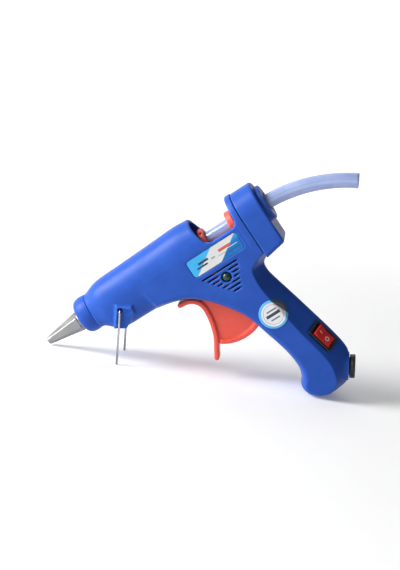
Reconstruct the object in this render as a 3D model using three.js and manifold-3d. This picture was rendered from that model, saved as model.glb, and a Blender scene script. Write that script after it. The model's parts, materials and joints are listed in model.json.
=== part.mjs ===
// A small 20 W hot-melt glue gun for 7 mm sticks, standing on its wire stand and the butt of its grip.
// Everything is drawn in the design frame: millimetres, X rearwards along the barrel axis from the
// nozzle tip, Z square to the axis, Y across the gun with the label side at -Y. The whole gun is then
// tilted nose down about Y, so that its two wire feet and the butt stand on the plane Z = 0.
import * as THREE from 'three';
import { mergeVertices } from 'three/addons/utils/BufferGeometryUtils.js';
import Module from 'manifold-3d';

const wasm = await Module();
wasm.setup();

// ---- driving dimensions ----
const HALF_WIDTH = 12;              // side faces of the housing
const WALL = 1.8;                   // moulded wall
const PARTING_GAP = 0.15;           // each shell stops this far from the middle plane
const GAP = 0.3;                    // between touching pieces
const STICK_RADIUS = 3.5;
const STICK_FRONT = 67;             // front end of the glue stick, in the inlet sleeve
const STICK_BEND_START = 121;       // where the stick leaves the straight barrel axis
const STICK_BEND_RADIUS = 70;
const STICK_BEND_ANGLE = 0.655;     // radians
const NOSE_RISE = 0.8;              // the nose ring sits this far above the nozzle axis
const TILT = THREE.MathUtils.degToRad(42.5);
const NOZZLE_CLEARANCE = 0.6;       // nozzle tip above the bench
const TIP_LOWEST = new THREE.Vector2(0.5, -1.9);
const STAND_PIVOT = new THREE.Vector2(40.4, -4.6);
const STAND_LEAN = THREE.MathUtils.degToRad(38);
const STAND_HALF_SPACING = 12.9;
const WIRE_RADIUS = 0.5;
const TRIGGER_PIVOT = new THREE.Vector2(83.5, -25);
const TRIGGER_HALF_WIDTH = 4.5;
const RIM_CENTRE = new THREE.Vector2(80.9, -27.5);
const RIM_RADIUS = 20.3;
const DRIVE_ARM = 17.6;             // trigger pivot to drive pin
const DRIVE_ARM_LEAN = THREE.MathUtils.degToRad(11);
const SCREW_PLACES = [[68, -10.3], [100.8, -14.6], [99.8, -58], [98, -79.5]];
const INDICATOR = new THREE.Vector2(90.4, -17.9);
const LABEL = { x: 91.6, z: -6.6, length: 27, height: 8.3, corner: 1.4 };
const STICKER = { x: 99, z: -43.9, radius: 6.75 };
const FLANGE_FRONT = 107.5;
const FLANGE_REAR = 110.6;
const COLLAR_REAR = 121.5;
const BOSS_REAR = 123.7;

const down = new THREE.Vector2(-Math.sin(TILT), -Math.cos(TILT));
const FLOOR = TIP_LOWEST.dot(down) + NOZZLE_CLEARANCE;   // bench plane, measured along down
const DRIVE_PIN = new THREE.Vector2(
  TRIGGER_PIVOT.x + DRIVE_ARM * Math.sin(DRIVE_ARM_LEAN),
  TRIGGER_PIVOT.y + DRIVE_ARM * Math.cos(DRIVE_ARM_LEAN),
);

// ---- solids ----
function solid(geometry) {
  geometry.deleteAttribute('normal');
  geometry.deleteAttribute('uv');
  const merged = mergeVertices(geometry, 1e-4);
  const index = merged.index.array;
  const place = merged.attributes.position;
  const a = new THREE.Vector3();
  const b = new THREE.Vector3();
  const c = new THREE.Vector3();
  let volume = 0;
  for (let i = 0; i < index.length; i += 3) {
    a.fromBufferAttribute(place, index[i]);
    b.fromBufferAttribute(place, index[i + 1]);
    c.fromBufferAttribute(place, index[i + 2]);
    volume += a.dot(b.cross(c));
  }
  const triVerts = Uint32Array.from(index);
  if (volume < 0) triVerts.reverse();
  return new wasm.Manifold(new wasm.Mesh({
    numProp: 3,
    vertProperties: Float32Array.from(place.array),
    triVerts,
  }));
}

function joined(...solids) {
  return solids.reduce((whole, next) => whole.add(next));
}

function block(xRange, yRange, zRange) {
  const size = [xRange, yRange, zRange].map(([low, high]) => high - low);
  const middle = [xRange, yRange, zRange].map(([low, high]) => (low + high) / 2);
  return solid(new THREE.BoxGeometry(...size).translate(...middle));
}

function placed(geometry, origin, xAxis, yAxis, zAxis) {
  const frame = new THREE.Matrix4().makeBasis(xAxis, yAxis, zAxis).setPosition(origin);
  return geometry.applyMatrix4(frame);
}

function rod(from, to, radius, sides = 16) {
  const start = new THREE.Vector3(...from);
  const axis = new THREE.Vector3(...to).sub(start);
  const turn = new THREE.Quaternion().setFromUnitVectors(new THREE.Vector3(0, 1, 0), axis.clone().normalize());
  const geometry = new THREE.CylinderGeometry(radius, radius, axis.length(), sides);
  geometry.translate(0, axis.length() / 2, 0).applyQuaternion(turn);
  return solid(geometry.translate(...from));
}

// A pin square to the side faces at a point of the X-Z plane.
function crossRod([x, z], yFrom, yTo, radius, sides = 16) {
  return rod([x, yFrom, z], [x, yTo, z], radius, sides);
}

// Turned about the line Y = 0, Z = rise; the profile lists [x, radius] and closes on itself.
function turned(profile, sides = 24, rise = 0) {
  const points = [...profile, profile[0]].map(([x, radius]) => new THREE.Vector2(radius, x));
  return solid(new THREE.LatheGeometry(points, sides).rotateZ(-Math.PI / 2).translate(0, 0, rise));
}

// An outline in the X-Z plane, given thickness across the gun.
function plate(outline, yFrom, yTo, curveSegments = 6) {
  const shape = outline instanceof THREE.Shape
    ? outline
    : new THREE.Shape(outline.map(([x, z]) => new THREE.Vector2(x, z)));
  const geometry = new THREE.ExtrudeGeometry(shape, { depth: yTo - yFrom, bevelEnabled: false, curveSegments });
  return solid(geometry.rotateX(Math.PI / 2).translate(0, yTo, 0));
}

// Rings of equally many points joined one to the next and closed with flat ends.
function loft(rings, endTriangles) {
  const count = rings[0].length;
  const positions = rings.flat().flatMap((point) => point.toArray());
  const index = [];
  for (let r = 0; r + 1 < rings.length; r += 1) {
    for (let i = 0; i < count; i += 1) {
      const j = (i + 1) % count;
      const near = r * count;
      const far = near + count;
      index.push(near + i, near + j, far + j, near + i, far + j, far + i);
    }
  }
  const last = (rings.length - 1) * count;
  for (const [a, b, c] of endTriangles) {
    index.push(a, c, b, last + a, last + b, last + c);
  }
  const geometry = new THREE.BufferGeometry();
  geometry.setAttribute('position', new THREE.Float32BufferAttribute(positions, 3));
  geometry.setIndex(index);
  return solid(geometry);
}

// The triangles of a flat end, wound the way its outline runs.
function capTriangles(outline) {
  const turn = Math.sign(THREE.ShapeUtils.area(outline));
  return THREE.ShapeUtils.triangulateShape(outline, []).map(([a, b, c]) => {
    const corner = [outline[a], outline[b], outline[c]];
    return Math.sign(THREE.ShapeUtils.area(corner)) === turn ? [a, b, c] : [a, c, b];
  });
}

function fan(count) {
  return Array.from({ length: count - 2 }, (_, i) => [0, i + 1, i + 2]);
}

function tube(points, radius, steps, sides, closed = false) {
  const path = points instanceof THREE.Curve ? points : new THREE.CatmullRomCurve3(points, closed);
  const section = new THREE.Shape(Array.from({ length: sides }, (_, i) => {
    const angle = (i / sides) * 2 * Math.PI;
    return new THREE.Vector2(radius * Math.cos(angle), radius * Math.sin(angle));
  }));
  return solid(new THREE.ExtrudeGeometry(section, { steps, extrudePath: path, bevelEnabled: false }));
}

function roundedRectangle(width, height, corner, x = 0, z = 0) {
  const shape = new THREE.Shape();
  const w = width / 2;
  const h = height / 2;
  shape.moveTo(x - w + corner, z - h);
  shape.lineTo(x + w - corner, z - h);
  shape.absarc(x + w - corner, z - h + corner, corner, -Math.PI / 2, 0);
  shape.lineTo(x + w, z + h - corner);
  shape.absarc(x + w - corner, z + h - corner, corner, 0, Math.PI / 2);
  shape.lineTo(x - w + corner, z + h);
  shape.absarc(x - w + corner, z + h - corner, corner, Math.PI / 2, Math.PI);
  shape.lineTo(x - w, z - h + corner);
  shape.absarc(x - w + corner, z - h + corner, corner, Math.PI, 1.5 * Math.PI);
  return shape;
}

// ---- the gun ----
const gun = new THREE.Group();

function add(name, shape, color, roughness = 0.5, metalness = 0) {
  const mesh = shape.getMesh();
  const geometry = new THREE.BufferGeometry();
  geometry.setAttribute('position', new THREE.BufferAttribute(Float32Array.from(mesh.vertProperties), 3));
  geometry.setIndex(new THREE.BufferAttribute(Uint32Array.from(mesh.triVerts), 1));
  geometry.computeVertexNormals();
  const piece = new THREE.Mesh(geometry, new THREE.MeshStandardMaterial({ color, roughness, metalness }));
  piece.name = name;
  gun.add(piece);
}

const BLUE = 0x2f57b5;
const ORANGE = 0xe4563f;
const BLACK = 0x26272b;
const ALUMINIUM = 0xa4a6a9;
const STEEL = 0xb9bcc0;
const BRASS = 0xc9a55a;
const CERAMIC = 0xe8e4da;

// ---- housing: barrel ----
// Each station gives x, top, bottom and half width of the barrel.
const BARREL_STATIONS = [
  [26.9, 8.6, -7.0, 7.9],
  [28.8, 9.2, -7.8, 8.6],
  [31.2, 10.6, -10.6, 10.0],
  [34.0, 11.5, -13.0, 11.1],
  [38.5, 12.0, -13.9, 11.6],
  [50, 12.3, -14.0, 11.9],
  [67, 12.9, -14.6, HALF_WIDTH],
  [80, 13.4, -15, HALF_WIDTH],
  [88.5, 12.9, -15, HALF_WIDTH],
  [FLANGE_REAR - 0.5, 12.2, -15, HALF_WIDTH],
];
const BARREL_WAIST = -1;            // height of the widest line of the barrel
const BARREL_POINTS = 28;
const INNER_BARREL_POINTS = 20;

function barrelRing([x, top, bottom, half], inset, count) {
  return Array.from({ length: count }, (_, i) => {
    const angle = (i / count) * 2 * Math.PI;
    const across = Math.cos(angle);
    const up = Math.sin(angle);
    const height = up > 0 ? top - BARREL_WAIST - inset : BARREL_WAIST - bottom - inset;
    const power = up > 0 ? 2 / 2.15 : 2 / 2.6;
    return new THREE.Vector3(
      x,
      (half - inset) * Math.sign(across) * Math.abs(across) ** power,
      BARREL_WAIST + height * Math.sign(up) * Math.abs(up) ** power,
    );
  });
}

function barrel(stations, inset, count = BARREL_POINTS) {
  return loft(stations.map((station) => barrelRing(station, inset, count)), fan(count));
}

// ---- housing: body and grip ----
// The side outline runs forward edge, butt, back, and closes through the barrel. "edge" is the outline
// on the middle plane and "face" the border of the flat side face, which the rounded front and the
// bevelled back run out to.
const FRONT_EDGE = [
  [55, -13.6], [62, -15.7], [69, -18.2], [76, -23.9], [82, -31.4], [87, -39.6], [90.4, -51],
  [93.4, -62.5], [94.2, -71.5], [92.8, -76.8], [90.4, -80.4], [90.8, -84.6], [94, -89.1], [99.5, -91.9],
];
const FRONT_FACE = [
  [55, -9.5], [63.5, -11.9], [71, -15], [78.5, -21.5], [85, -29.4], [90.2, -38.2], [93.8, -50],
  [96.9, -61.5], [98, -71.5], [96.8, -77.6], [93.9, -80.9], [94.2, -83.8], [96.4, -86.6], [99.8, -88.6],
];
const BACK_EDGE = [
  [99.5, -91.9], [105, -91.7], [110, -89.9], [116.3, -80.9], [117.4, -75.6], [115.8, -66],
  [113.5, -56.2], [110.3, -43], [107.7, -33], [106.4, -26.6], [107.2, -22.6], [FLANGE_REAR, -20.7],
];
const BACK_FACE = [
  [99.8, -88.6], [103.4, -88.3], [106.4, -86], [108.1, -80], [107.9, -73.6], [106.4, -66],
  [104.4, -56.5], [102.6, -44], [100.9, -33], [100.9, -26.6], [102.6, -20.7], [FLANGE_REAR, -17.5],
];
const BODY_TOP = -1;
const LAYERS = [0, 0.45, 0.75, 0.92, 1];
const INNER_LAYERS = [0, 0.6, 0.9, 1];
const RIDGE_ROUNDING = 0.22;

function smooth(points, steps) {
  const curve = new THREE.SplineCurve(points.map(([x, z]) => new THREE.Vector2(x, z)));
  return curve.getPoints(steps);
}

function roundEdge(u) {
  return (1 - u ** 2.4) ** (1 / 2.4);
}

function roofEdge(u) {
  const rounded = Math.hypot(u, RIDGE_ROUNDING) - RIDGE_ROUNDING;
  return 1 - rounded / (Math.hypot(1, RIDGE_ROUNDING) - RIDGE_ROUNDING);
}

function insetOutline(points, distance) {
  return points.map((point, i) => {
    const before = points[(i + points.length - 1) % points.length];
    const after = points[(i + 1) % points.length];
    const along = after.clone().sub(before).normalize();
    return new THREE.Vector2(point.x - along.y * distance, point.y + along.x * distance);
  });
}

function body(inset, stepsPerPoint = 2, halfLayers = LAYERS) {
  const frontSteps = (FRONT_EDGE.length - 1) * stepsPerPoint;
  const backSteps = (BACK_EDGE.length - 1) * stepsPerPoint;
  const closing = [new THREE.Vector2(FLANGE_REAR, BODY_TOP), new THREE.Vector2(55, BODY_TOP)];
  const front = smooth(FRONT_EDGE, frontSteps);
  const back = smooth(BACK_EDGE, backSteps).slice(1);
  const frontFace = smooth(FRONT_FACE, frontSteps);
  const backFace = smooth(BACK_FACE, backSteps).slice(1);
  const edge = insetOutline([...front, ...back, ...closing], inset);
  const face = insetOutline([...frontFace, ...backFace, ...closing], inset);
  const blendStart = front.length - 2 * stepsPerPoint;
  const profiles = edge.map((_, i) => {
    const roof = THREE.MathUtils.clamp((i - blendStart) / (3 * stepsPerPoint), 0, 1);
    return (u) => roundEdge(u) * (1 - roof) + roofEdge(u) * roof;
  });
  const layers = [...halfLayers.slice(1).reverse().map((u) => -u), ...halfLayers];
  const rings = layers.map((u) => edge.map((point, i) => {
    const share = profiles[i](Math.abs(u));
    const across = face[i].clone().lerp(point, share);
    return new THREE.Vector3(across.x, u * (HALF_WIDTH - inset), across.y);
  }));
  return loft(rings, capTriangles(face));
}

// ---- housing: flange, spigots and collar ----
// An arch about the barrel axis with straight sides, as a ring square to the axis.
function archRing(x, radius, half, bottom, corner = 2, segments = 12) {
  const points = Array.from({ length: segments + 1 }, (_, i) => {
    const angle = (i / segments) * Math.PI;
    return new THREE.Vector3(x, half * Math.cos(angle), radius * Math.sin(angle));
  });
  points.push(new THREE.Vector3(x, -half, bottom + corner), new THREE.Vector3(x, -half + corner, bottom));
  points.push(new THREE.Vector3(x, half - corner, bottom), new THREE.Vector3(x, half, bottom + corner));
  return points;
}

function arch(stations) {
  const rings = stations.map((station) => archRing(...station));
  return loft(rings, fan(rings[0].length));
}

const flange = arch([
  [FLANGE_FRONT, 11.9, 11.7, -12],
  [FLANGE_FRONT + 0.7, 12.5, 12.1, -12],
  [FLANGE_REAR, 12.5, 12.1, -12],
]);
const rearSpigot = arch([[FLANGE_REAR - 1, 9.7, 9.6, -15.8], [118.8, 9.7, 9.6, -15.8]]);
const noseSpigot = turned([[20.9, 0], [20.9, 7.1], [28, 7.1], [28, 0]], 20, NOSE_RISE);

// ---- housing: what is cut out of the two shells ----
const notch = new THREE.Shape();
notch.moveTo(87.9, 18);
notch.lineTo(87.9, 12.6);
notch.quadraticCurveTo(88.3, 8.6, 89.2, 4.8);
notch.quadraticCurveTo(90.3, 0, 93.2, -0.6);
notch.lineTo(104.4, -0.6);
notch.quadraticCurveTo(107.1, -0.3, FLANGE_FRONT, 2.6);
notch.lineTo(FLANGE_FRONT, 18);

const TRIGGER_SLOT = [
  [63.4, -13.5], [61.5, -19], [72, -30], [80, -42], [87, -51], [91.4, -50.2], [94, -46], [90, -34],
  [80, -20], [72, -14],
];
const SLOT_HALF_WIDTH = TRIGGER_HALF_WIDTH + 0.45;

const insideBarrel = BARREL_STATIONS.slice(0, -1).map(([x, ...rest]) => [x, ...rest]);
insideBarrel[0] = [26, 8.3, -6.7, 7.7];
insideBarrel.push([FLANGE_FRONT - 0.6, 12.6, -15, HALF_WIDTH]);

const cavity = joined(
  barrel(insideBarrel, WALL, INNER_BARREL_POINTS),
  body(WALL, 1, INNER_LAYERS).subtract(block([FLANGE_FRONT - 0.6, 130], [-20, 20], [-22, 0])),
  turned([[20, 0], [20, 5.9], [28, 5.9], [28, 0]], 20, NOSE_RISE),
);

const VENT_PITCH = 1.95;
const VENT_COUNT = 7;
const VENT_TOP = -13.6;
const VENT_HEIGHT = 0.95;

function vents(side) {
  const slots = Array.from({ length: VENT_COUNT }, (_, i) => {
    const z = VENT_TOP - i * VENT_PITCH;
    const left = 80 + i * 1.6;
    const right = 99.2 - i * 0.9;
    const yRange = side < 0 ? [-14, -9] : [9, 14];
    return block([left, right], yRange, [z - VENT_HEIGHT / 2, z + VENT_HEIGHT / 2]);
  });
  return joined(...slots);
}

const SWITCH_LIFT = 0.6;            // the rounded bevel stands this far off its chord
const SWITCH = switchFrame();

// The rocker switch sits in the bevel on the label side, its long side running down the grip.
function switchFrame() {
  const origin = new THREE.Vector3(111.2, -6, -65.9);
  const along = new THREE.Vector3(0.227, 0, -0.974).normalize();
  const towardsRidge = new THREE.Vector3(9.4, HALF_WIDTH, 0.1);
  const across = towardsRidge.addScaledVector(along, -towardsRidge.dot(along)).normalize();
  const out = new THREE.Vector3().crossVectors(along, across);
  origin.addScaledVector(out, SWITCH_LIFT);
  return { origin, along, across, out };
}

// A block in the switch's frame: along the grip, across the bevel, and out of it.
function switchBlock(along, across, out) {
  const size = [along, across, out].map(([low, high]) => high - low);
  const middle = [along, across, out].map(([low, high]) => (low + high) / 2);
  const geometry = new THREE.BoxGeometry(...size).translate(...middle);
  return solid(placed(geometry, SWITCH.origin, SWITCH.along, SWITCH.across, SWITCH.out));
}

const GLAND_AXIS = new THREE.Vector3(0.819, 0, -0.573).normalize();
const GLAND_SEAT = new THREE.Vector3(113.15, 0, -85.4);   // middle of the flat of the butt behind the gland

function glandRod(from, to, radius, sides = 20) {
  const start = GLAND_SEAT.clone().addScaledVector(GLAND_AXIS, from);
  const end = GLAND_SEAT.clone().addScaledVector(GLAND_AXIS, to);
  return rod(start.toArray(), end.toArray(), radius, sides);
}

// Pads around the stand's pivot: a raised rim ahead of and above the leg, open behind and below it.
const LEG = new THREE.Vector2(-Math.sin(STAND_LEAN), -Math.cos(STAND_LEAN));
const AHEAD = new THREE.Vector2(LEG.y, -LEG.x);
const FOLD_ANGLE = THREE.MathUtils.degToRad(84);
const PAD_FACE = 12.7;
const RECESS_FLOOR = 12.1;

function besideLeg(along, ahead) {
  return STAND_PIVOT.clone().addScaledVector(LEG, along).addScaledVector(AHEAD, ahead).toArray();
}

const PAD_OUTLINE = [besideLeg(-2.2, 2.4), besideLeg(9, 2.4), [38, -13.4], [45.2, -9.3], [46.2, -5.6]];
const foldedLeg = LEG.clone().rotateAround(new THREE.Vector2(), FOLD_ANGLE);
const foldedEnd = STAND_PIVOT.clone().addScaledVector(foldedLeg, 12);
const RECESS_OUTLINE = [
  besideLeg(-0.95, 0.95), besideLeg(16, 0.95), [36, -19], [foldedEnd.x + 0.9, foldedEnd.y + 0.6],
  [STAND_PIVOT.x + 0.9, STAND_PIVOT.y + 0.6],
];

function onBothSides(outline, from, to) {
  return joined(plate(outline, -to, -from), plate(outline, from, to));
}

const floorBlock = (() => {
  const centre = new THREE.Vector2(60, -60);
  centre.addScaledVector(down, FLOOR - centre.dot(down) + 20);
  const geometry = new THREE.BoxGeometry(260, 60, 40).rotateY(TILT);
  return solid(geometry.translate(centre.x, 0, centre.y));
})();

// ---- the two shells ----
const outer = joined(
  barrel(BARREL_STATIONS, 0),
  body(0),
  flange,
  rearSpigot,
  noseSpigot,
  onBothSides(PAD_OUTLINE, 8, PAD_FACE),
  glandRod(-6, 0.3, 6.6, 24),
);

const shellCuts = joined(
  cavity,
  plate(notch, -20, 20),
  plate(TRIGGER_SLOT, -SLOT_HALF_WIDTH, SLOT_HALF_WIDTH),
  onBothSides(RECESS_OUTLINE, RECESS_FLOOR, 14),
  crossRod(STAND_PIVOT.toArray(), -14, 14, 0.95, 12),
  rod([100, 0, 0], [130, 0, 0], 4.4, 24),
  glandRod(-9, 4, 4.5, 16),
  glandRod(-9, -2.1, 5.2, 16),
  vents(-1),
  vents(1),
  floorBlock,
);

const shells = outer.subtract(shellCuts);

const PIVOT_POST_RADIUS = 3.2;
const SCREW_POST_RADIUS = 2.8;
const POST_ROOT = 10.5;             // posts start inside the side walls
const SPRING_POST = new THREE.Vector2(91.6, -30.8);
const CLAMP_CENTRE = new THREE.Vector2(103, -81.5);
const CLAMP_ALONG = new THREE.Vector2(-0.573, -0.819);
const CLAMP_SCREWS = [-3.6, 3.6].map((d) => CLAMP_CENTRE.clone().addScaledVector(CLAMP_ALONG, d).toArray());
const ventSurround = crossRod(INDICATOR.toArray(), -11.6, -9.6, 4, 20);
const labelPocket = plate(
  roundedRectangle(LABEL.length + 0.5, LABEL.height + 0.5, LABEL.corner + 0.2, LABEL.x, LABEL.z),
  -14,
  -11.5,
);

const leftShell = joined(
  shells.intersect(block([-10, 200], [-30, -PARTING_GAP], [-120, 40])),
  ventSurround,
  crossRod(TRIGGER_PIVOT.toArray(), -POST_ROOT, -5, PIVOT_POST_RADIUS),
  ...SCREW_PLACES.map((place) => crossRod(place, -POST_ROOT, -PARTING_GAP, SCREW_POST_RADIUS)),
  ...CLAMP_SCREWS.map((place) => crossRod(place, -POST_ROOT, -3.2, 2, 12)),
).subtract(joined(
  crossRod(TRIGGER_PIVOT.toArray(), -9.3, -4, 1.75),
  ...SCREW_PLACES.map((place) => crossRod(place, -9, 1, 1.3, 12)),
  ...CLAMP_SCREWS.map((place) => crossRod(place, -9, -3, 1.05, 10)),
  crossRod(INDICATOR.toArray(), -14, -9, 2.75, 20),
  labelPocket,
  switchBlock([-6.15, 6.15], [-4.25, 4.25], [-10, 3]),
  switchBlock([-7, 7], [-5, 5], [-0.3, 3]),
));

const rightShell = joined(
  shells.intersect(block([-10, 200], [PARTING_GAP, 30], [-120, 40])),
  crossRod(TRIGGER_PIVOT.toArray(), 5, POST_ROOT, PIVOT_POST_RADIUS),
  crossRod(SPRING_POST.toArray(), 5, POST_ROOT, 2.2, 12),
  ...SCREW_PLACES.map((place) => crossRod(place, PARTING_GAP, POST_ROOT, SCREW_POST_RADIUS)),
).subtract(joined(
  crossRod(TRIGGER_PIVOT.toArray(), 4, 9.3, 1.75),
  ...SCREW_PLACES.map((place) => crossRod(place, -1, 14, 1.5, 12)),
  ...SCREW_PLACES.map((place) => crossRod(place, 5.5, 14, 2.75)),
));

add('left_housing', leftShell, BLUE);
add('right_housing', rightShell, BLUE);

SCREW_PLACES.forEach((place, i) => {
  const screw = joined(crossRod(place, -7, 6.2, 1.05, 10), crossRod(place, 5.8, 7.6, 2.4));
  add(`housing_screw_${i + 1}`, screw, STEEL, 0.35, 1);
});

// ---- nose ring, collar, label and sticker ----
const ringProfile = [
  [19.3, 3.9], [19.3, 7.1], [19.7, 8], [20.5, 8.6], [21.6, 8.85], [25.5, 8.85], [26.3, 8.6], [26.6, 8.2],
  [26.6, 7.4], [20.6, 7.4], [20.6, 3.9],
];
add('nose_ring', turned(ringProfile, 28, NOSE_RISE).subtract(rod([18, 0, 0], [22, 0, 0], 5.25, 24)), BLUE);

const collar = joined(
  arch([
    [FLANGE_REAR + GAP, 12.1, 11.8, -20.6], [120.3, 12.1, 11.8, -18.8], [COLLAR_REAR, 11, 10.7, -17.6],
  ]),
  turned([[119, 0], [119, 8.7], [123.1, 8.7], [BOSS_REAR, 8.1], [BOSS_REAR, 0]], 28, 0.2),
).subtract(joined(
  arch([[FLANGE_REAR - 1, 10, 9.9, -16.2], [119.2, 10, 9.9, -16.2]]),
  rod([100, 0, 0], [130, 0, 0], 4.4, 24),
));
add('rear_collar', collar, BLUE);

const labelOutline = roundedRectangle(LABEL.length, LABEL.height, LABEL.corner, LABEL.x, LABEL.z);
add('front_label', plate(labelOutline, -11.8, -11.6), 0x9cc9de, 0.35);

const stickerLayer = body(0).translate([0, -0.35, 0]).subtract(body(0).translate([0, -0.12, 0]));
const stickerDisc = crossRod([STICKER.x, STICKER.z], -14, -3, STICKER.radius, 36);
add('round_sticker', stickerLayer.intersect(stickerDisc), 0xdfe6ea, 0.4);

// ---- hot end ----
const nozzleFacets = solid(
  new THREE.CylinderGeometry(4.95, 2.3, 16, 6).rotateZ(-Math.PI / 2).translate(10.4, 0, 0),
);
const nozzle = joined(
  turned([[0, 0], [0, 1.4], [0.5, 1.9], [2.8, 2.1], [2.8, 0]], 20),
  nozzleFacets,
  turned([[18.2, 0], [18.2, 4.2], [20.4, 4.2], [20.4, 2.7], [31.5, 2.7], [31.5, 0]], 20),
).subtract(joined(rod([-1, 0, 0], [8, 0, 0], 0.75, 12), rod([7, 0, 0], [33, 0, 0], 1.5, 12)));
add('nozzle', nozzle, ALUMINIUM, 0.35, 1);

add('nose_bush', turned([[20.9, 0], [20.9, 5.6], [24.2, 5.6], [24.2, 0]], 24, NOSE_RISE)
  .subtract(rod([19, 0, 0], [26, 0, 0], 3, 20)), 0xd9d4c8, 0.7);

const chamber = joined(
  turned([
    [24.5, 3], [24.5, 4.4], [33.5, 4.4], [35, 3.3], [44.5, 3.3], [48, 5.6], [64, 5.6],
    [64, 3.8], [50, 3.8], [45.5, 1.5], [32, 1.5], [32, 3],
  ]),
  block([49.5, 61], [-4.5, 4.5], [-6, -4.5]),
);
add('melt_chamber', chamber, ALUMINIUM, 0.45, 1);

add('chamber_front_support', turned([[35.6, 3.6], [35.6, 9.2], [37.2, 9.2], [37.2, 3.6]]), 0xe9dfca, 0.8);
add('chamber_rear_support', turned([[61.5, 5.9], [61.5, 9.8], [63.5, 9.8], [63.5, 5.9]])
  .subtract(block([60, 65], [-12, 12], [-12, -5.5]))
  .subtract(block([60, 65], [0, 12], [-12, -1.5])), 0xe9dfca, 0.8);
add('inlet_sleeve', turned([[64.3, 3.8], [64.3, 5.6], [74.6, 5.6], [74.6, 6.5], [76.4, 6.5], [76.4, 3.8]]), 0xcfd2d4, 0.8);

const HEATER_LENGTH = [50, 60.5];
add('electrode_upper', block(HEATER_LENGTH, [-3.8, 3.8], [-6.7, -6.3]), BRASS, 0.35, 1);
add('ptc_heater', block([50.5, 60], [-3.5, 3.5], [-8.9, -7]), 0x6d6a66, 0.8);
add('electrode_lower', block(HEATER_LENGTH, [-3.8, 3.8], [-9.6, -9.2]), BRASS, 0.35, 1);
add('heater_tray', joined(
  block(HEATER_LENGTH, [-4.8, 4.8], [-10.4, -9.9]),
  block(HEATER_LENGTH, [-4.8, -4.3], [-10, -6.5]),
  block(HEATER_LENGTH, [4.3, 4.8], [-10, -6.5]),
), CERAMIC, 0.8);
const clipStations = [53, 57];
add('heater_clip', arch(clipStations.map((x) => [x, 6.4, 6.4, -11, 0.8]))
  .subtract(arch([[52, 5.9, 5.9, -10.6, 0.8], [58, 5.9, 5.9, -10.6, 0.8]])), STEEL, 0.3, 1);

// ---- trigger ----
const LEVER_LINE = [
  [63.2, -18.7], [67.3, -19.3], [70.6, -21.5], [72.2, -25], [72.1, -29.5], [71, -35], [69, -40.5],
  [66, -45.4], [63.9, -48.9],
];
const LEVER_HALF_THICKNESS = 1.15;
const RIM_THICKNESS = 2.2;
const RIM_FROM = THREE.MathUtils.degToRad(234.5);
const RIM_TO = THREE.MathUtils.degToRad(305);

// A strip of even thickness along a curve, with round ends.
function strip(points, half, steps) {
  const line = new THREE.SplineCurve(points.map(([x, z]) => new THREE.Vector2(x, z)));
  const places = line.getPoints(steps);
  const left = [];
  const right = [];
  places.forEach((place, i) => {
    const before = places[Math.max(i - 1, 0)];
    const after = places[Math.min(i + 1, steps)];
    const along = after.clone().sub(before).normalize();
    left.push([place.x - along.y * half, place.y + along.x * half]);
    right.push([place.x + along.y * half, place.y - along.x * half]);
  });
  return [...left, ...right.reverse()];
}

function arcPoints(centre, radius, from, to, steps) {
  return Array.from({ length: steps + 1 }, (_, i) => {
    const angle = from + ((to - from) * i) / steps;
    return [centre.x + radius * Math.cos(angle), centre.y + radius * Math.sin(angle)];
  });
}

const rimArc = arcPoints(RIM_CENTRE, RIM_RADIUS, RIM_FROM, RIM_TO, 14);
const rimInside = arcPoints(RIM_CENTRE, RIM_RADIUS - RIM_THICKNESS, RIM_TO, RIM_FROM, 14);
const webOutline = [[80.5, -21], [72.2, -22.6], [72.3, -28], [71.2, -35], [69.3, -40.5], ...rimArc, [87.4, -26.5]];
const armSide = new THREE.Vector2(Math.cos(DRIVE_ARM_LEAN), -Math.sin(DRIVE_ARM_LEAN)).multiplyScalar(2.1);
const armOutline = [
  [TRIGGER_PIVOT.x - armSide.x, TRIGGER_PIVOT.y - armSide.y],
  [TRIGGER_PIVOT.x + armSide.x, TRIGGER_PIVOT.y + armSide.y],
  [DRIVE_PIN.x + armSide.x, DRIVE_PIN.y + armSide.y],
  [DRIVE_PIN.x - armSide.x, DRIVE_PIN.y - armSide.y],
];
const leverEnds = [LEVER_LINE[0], LEVER_LINE[LEVER_LINE.length - 1]];
const trigger = joined(
  plate(strip(LEVER_LINE, LEVER_HALF_THICKNESS, 20), -TRIGGER_HALF_WIDTH, TRIGGER_HALF_WIDTH),
  ...leverEnds.map((end) => (
    crossRod(end, -TRIGGER_HALF_WIDTH, TRIGGER_HALF_WIDTH, LEVER_HALF_THICKNESS, 12)
  )),
  plate([...rimArc, ...rimInside], -TRIGGER_HALF_WIDTH, TRIGGER_HALF_WIDTH),
  plate(webOutline, -3.2, 3.2),
  crossRod(TRIGGER_PIVOT.toArray(), -TRIGGER_HALF_WIDTH, TRIGGER_HALF_WIDTH, 4, 20),
  plate(armOutline, -1.7, 1.7),
  crossRod(DRIVE_PIN.toArray(), -1.7, 1.7, 2.3),
).subtract(joined(
  crossRod(TRIGGER_PIVOT.toArray(), -6, 6, 1.8),
  crossRod(DRIVE_PIN.toArray(), -3, 3, 1.3, 12),
));
add('trigger', trigger, ORANGE, 0.45);
add('trigger_pin', crossRod(TRIGGER_PIVOT.toArray(), -9, 9, 1.5), STEEL, 0.3, 1);
add('drive_pin', crossRod(DRIVE_PIN.toArray(), -3.8, 3.8, 1, 12), STEEL, 0.3, 1);

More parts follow.
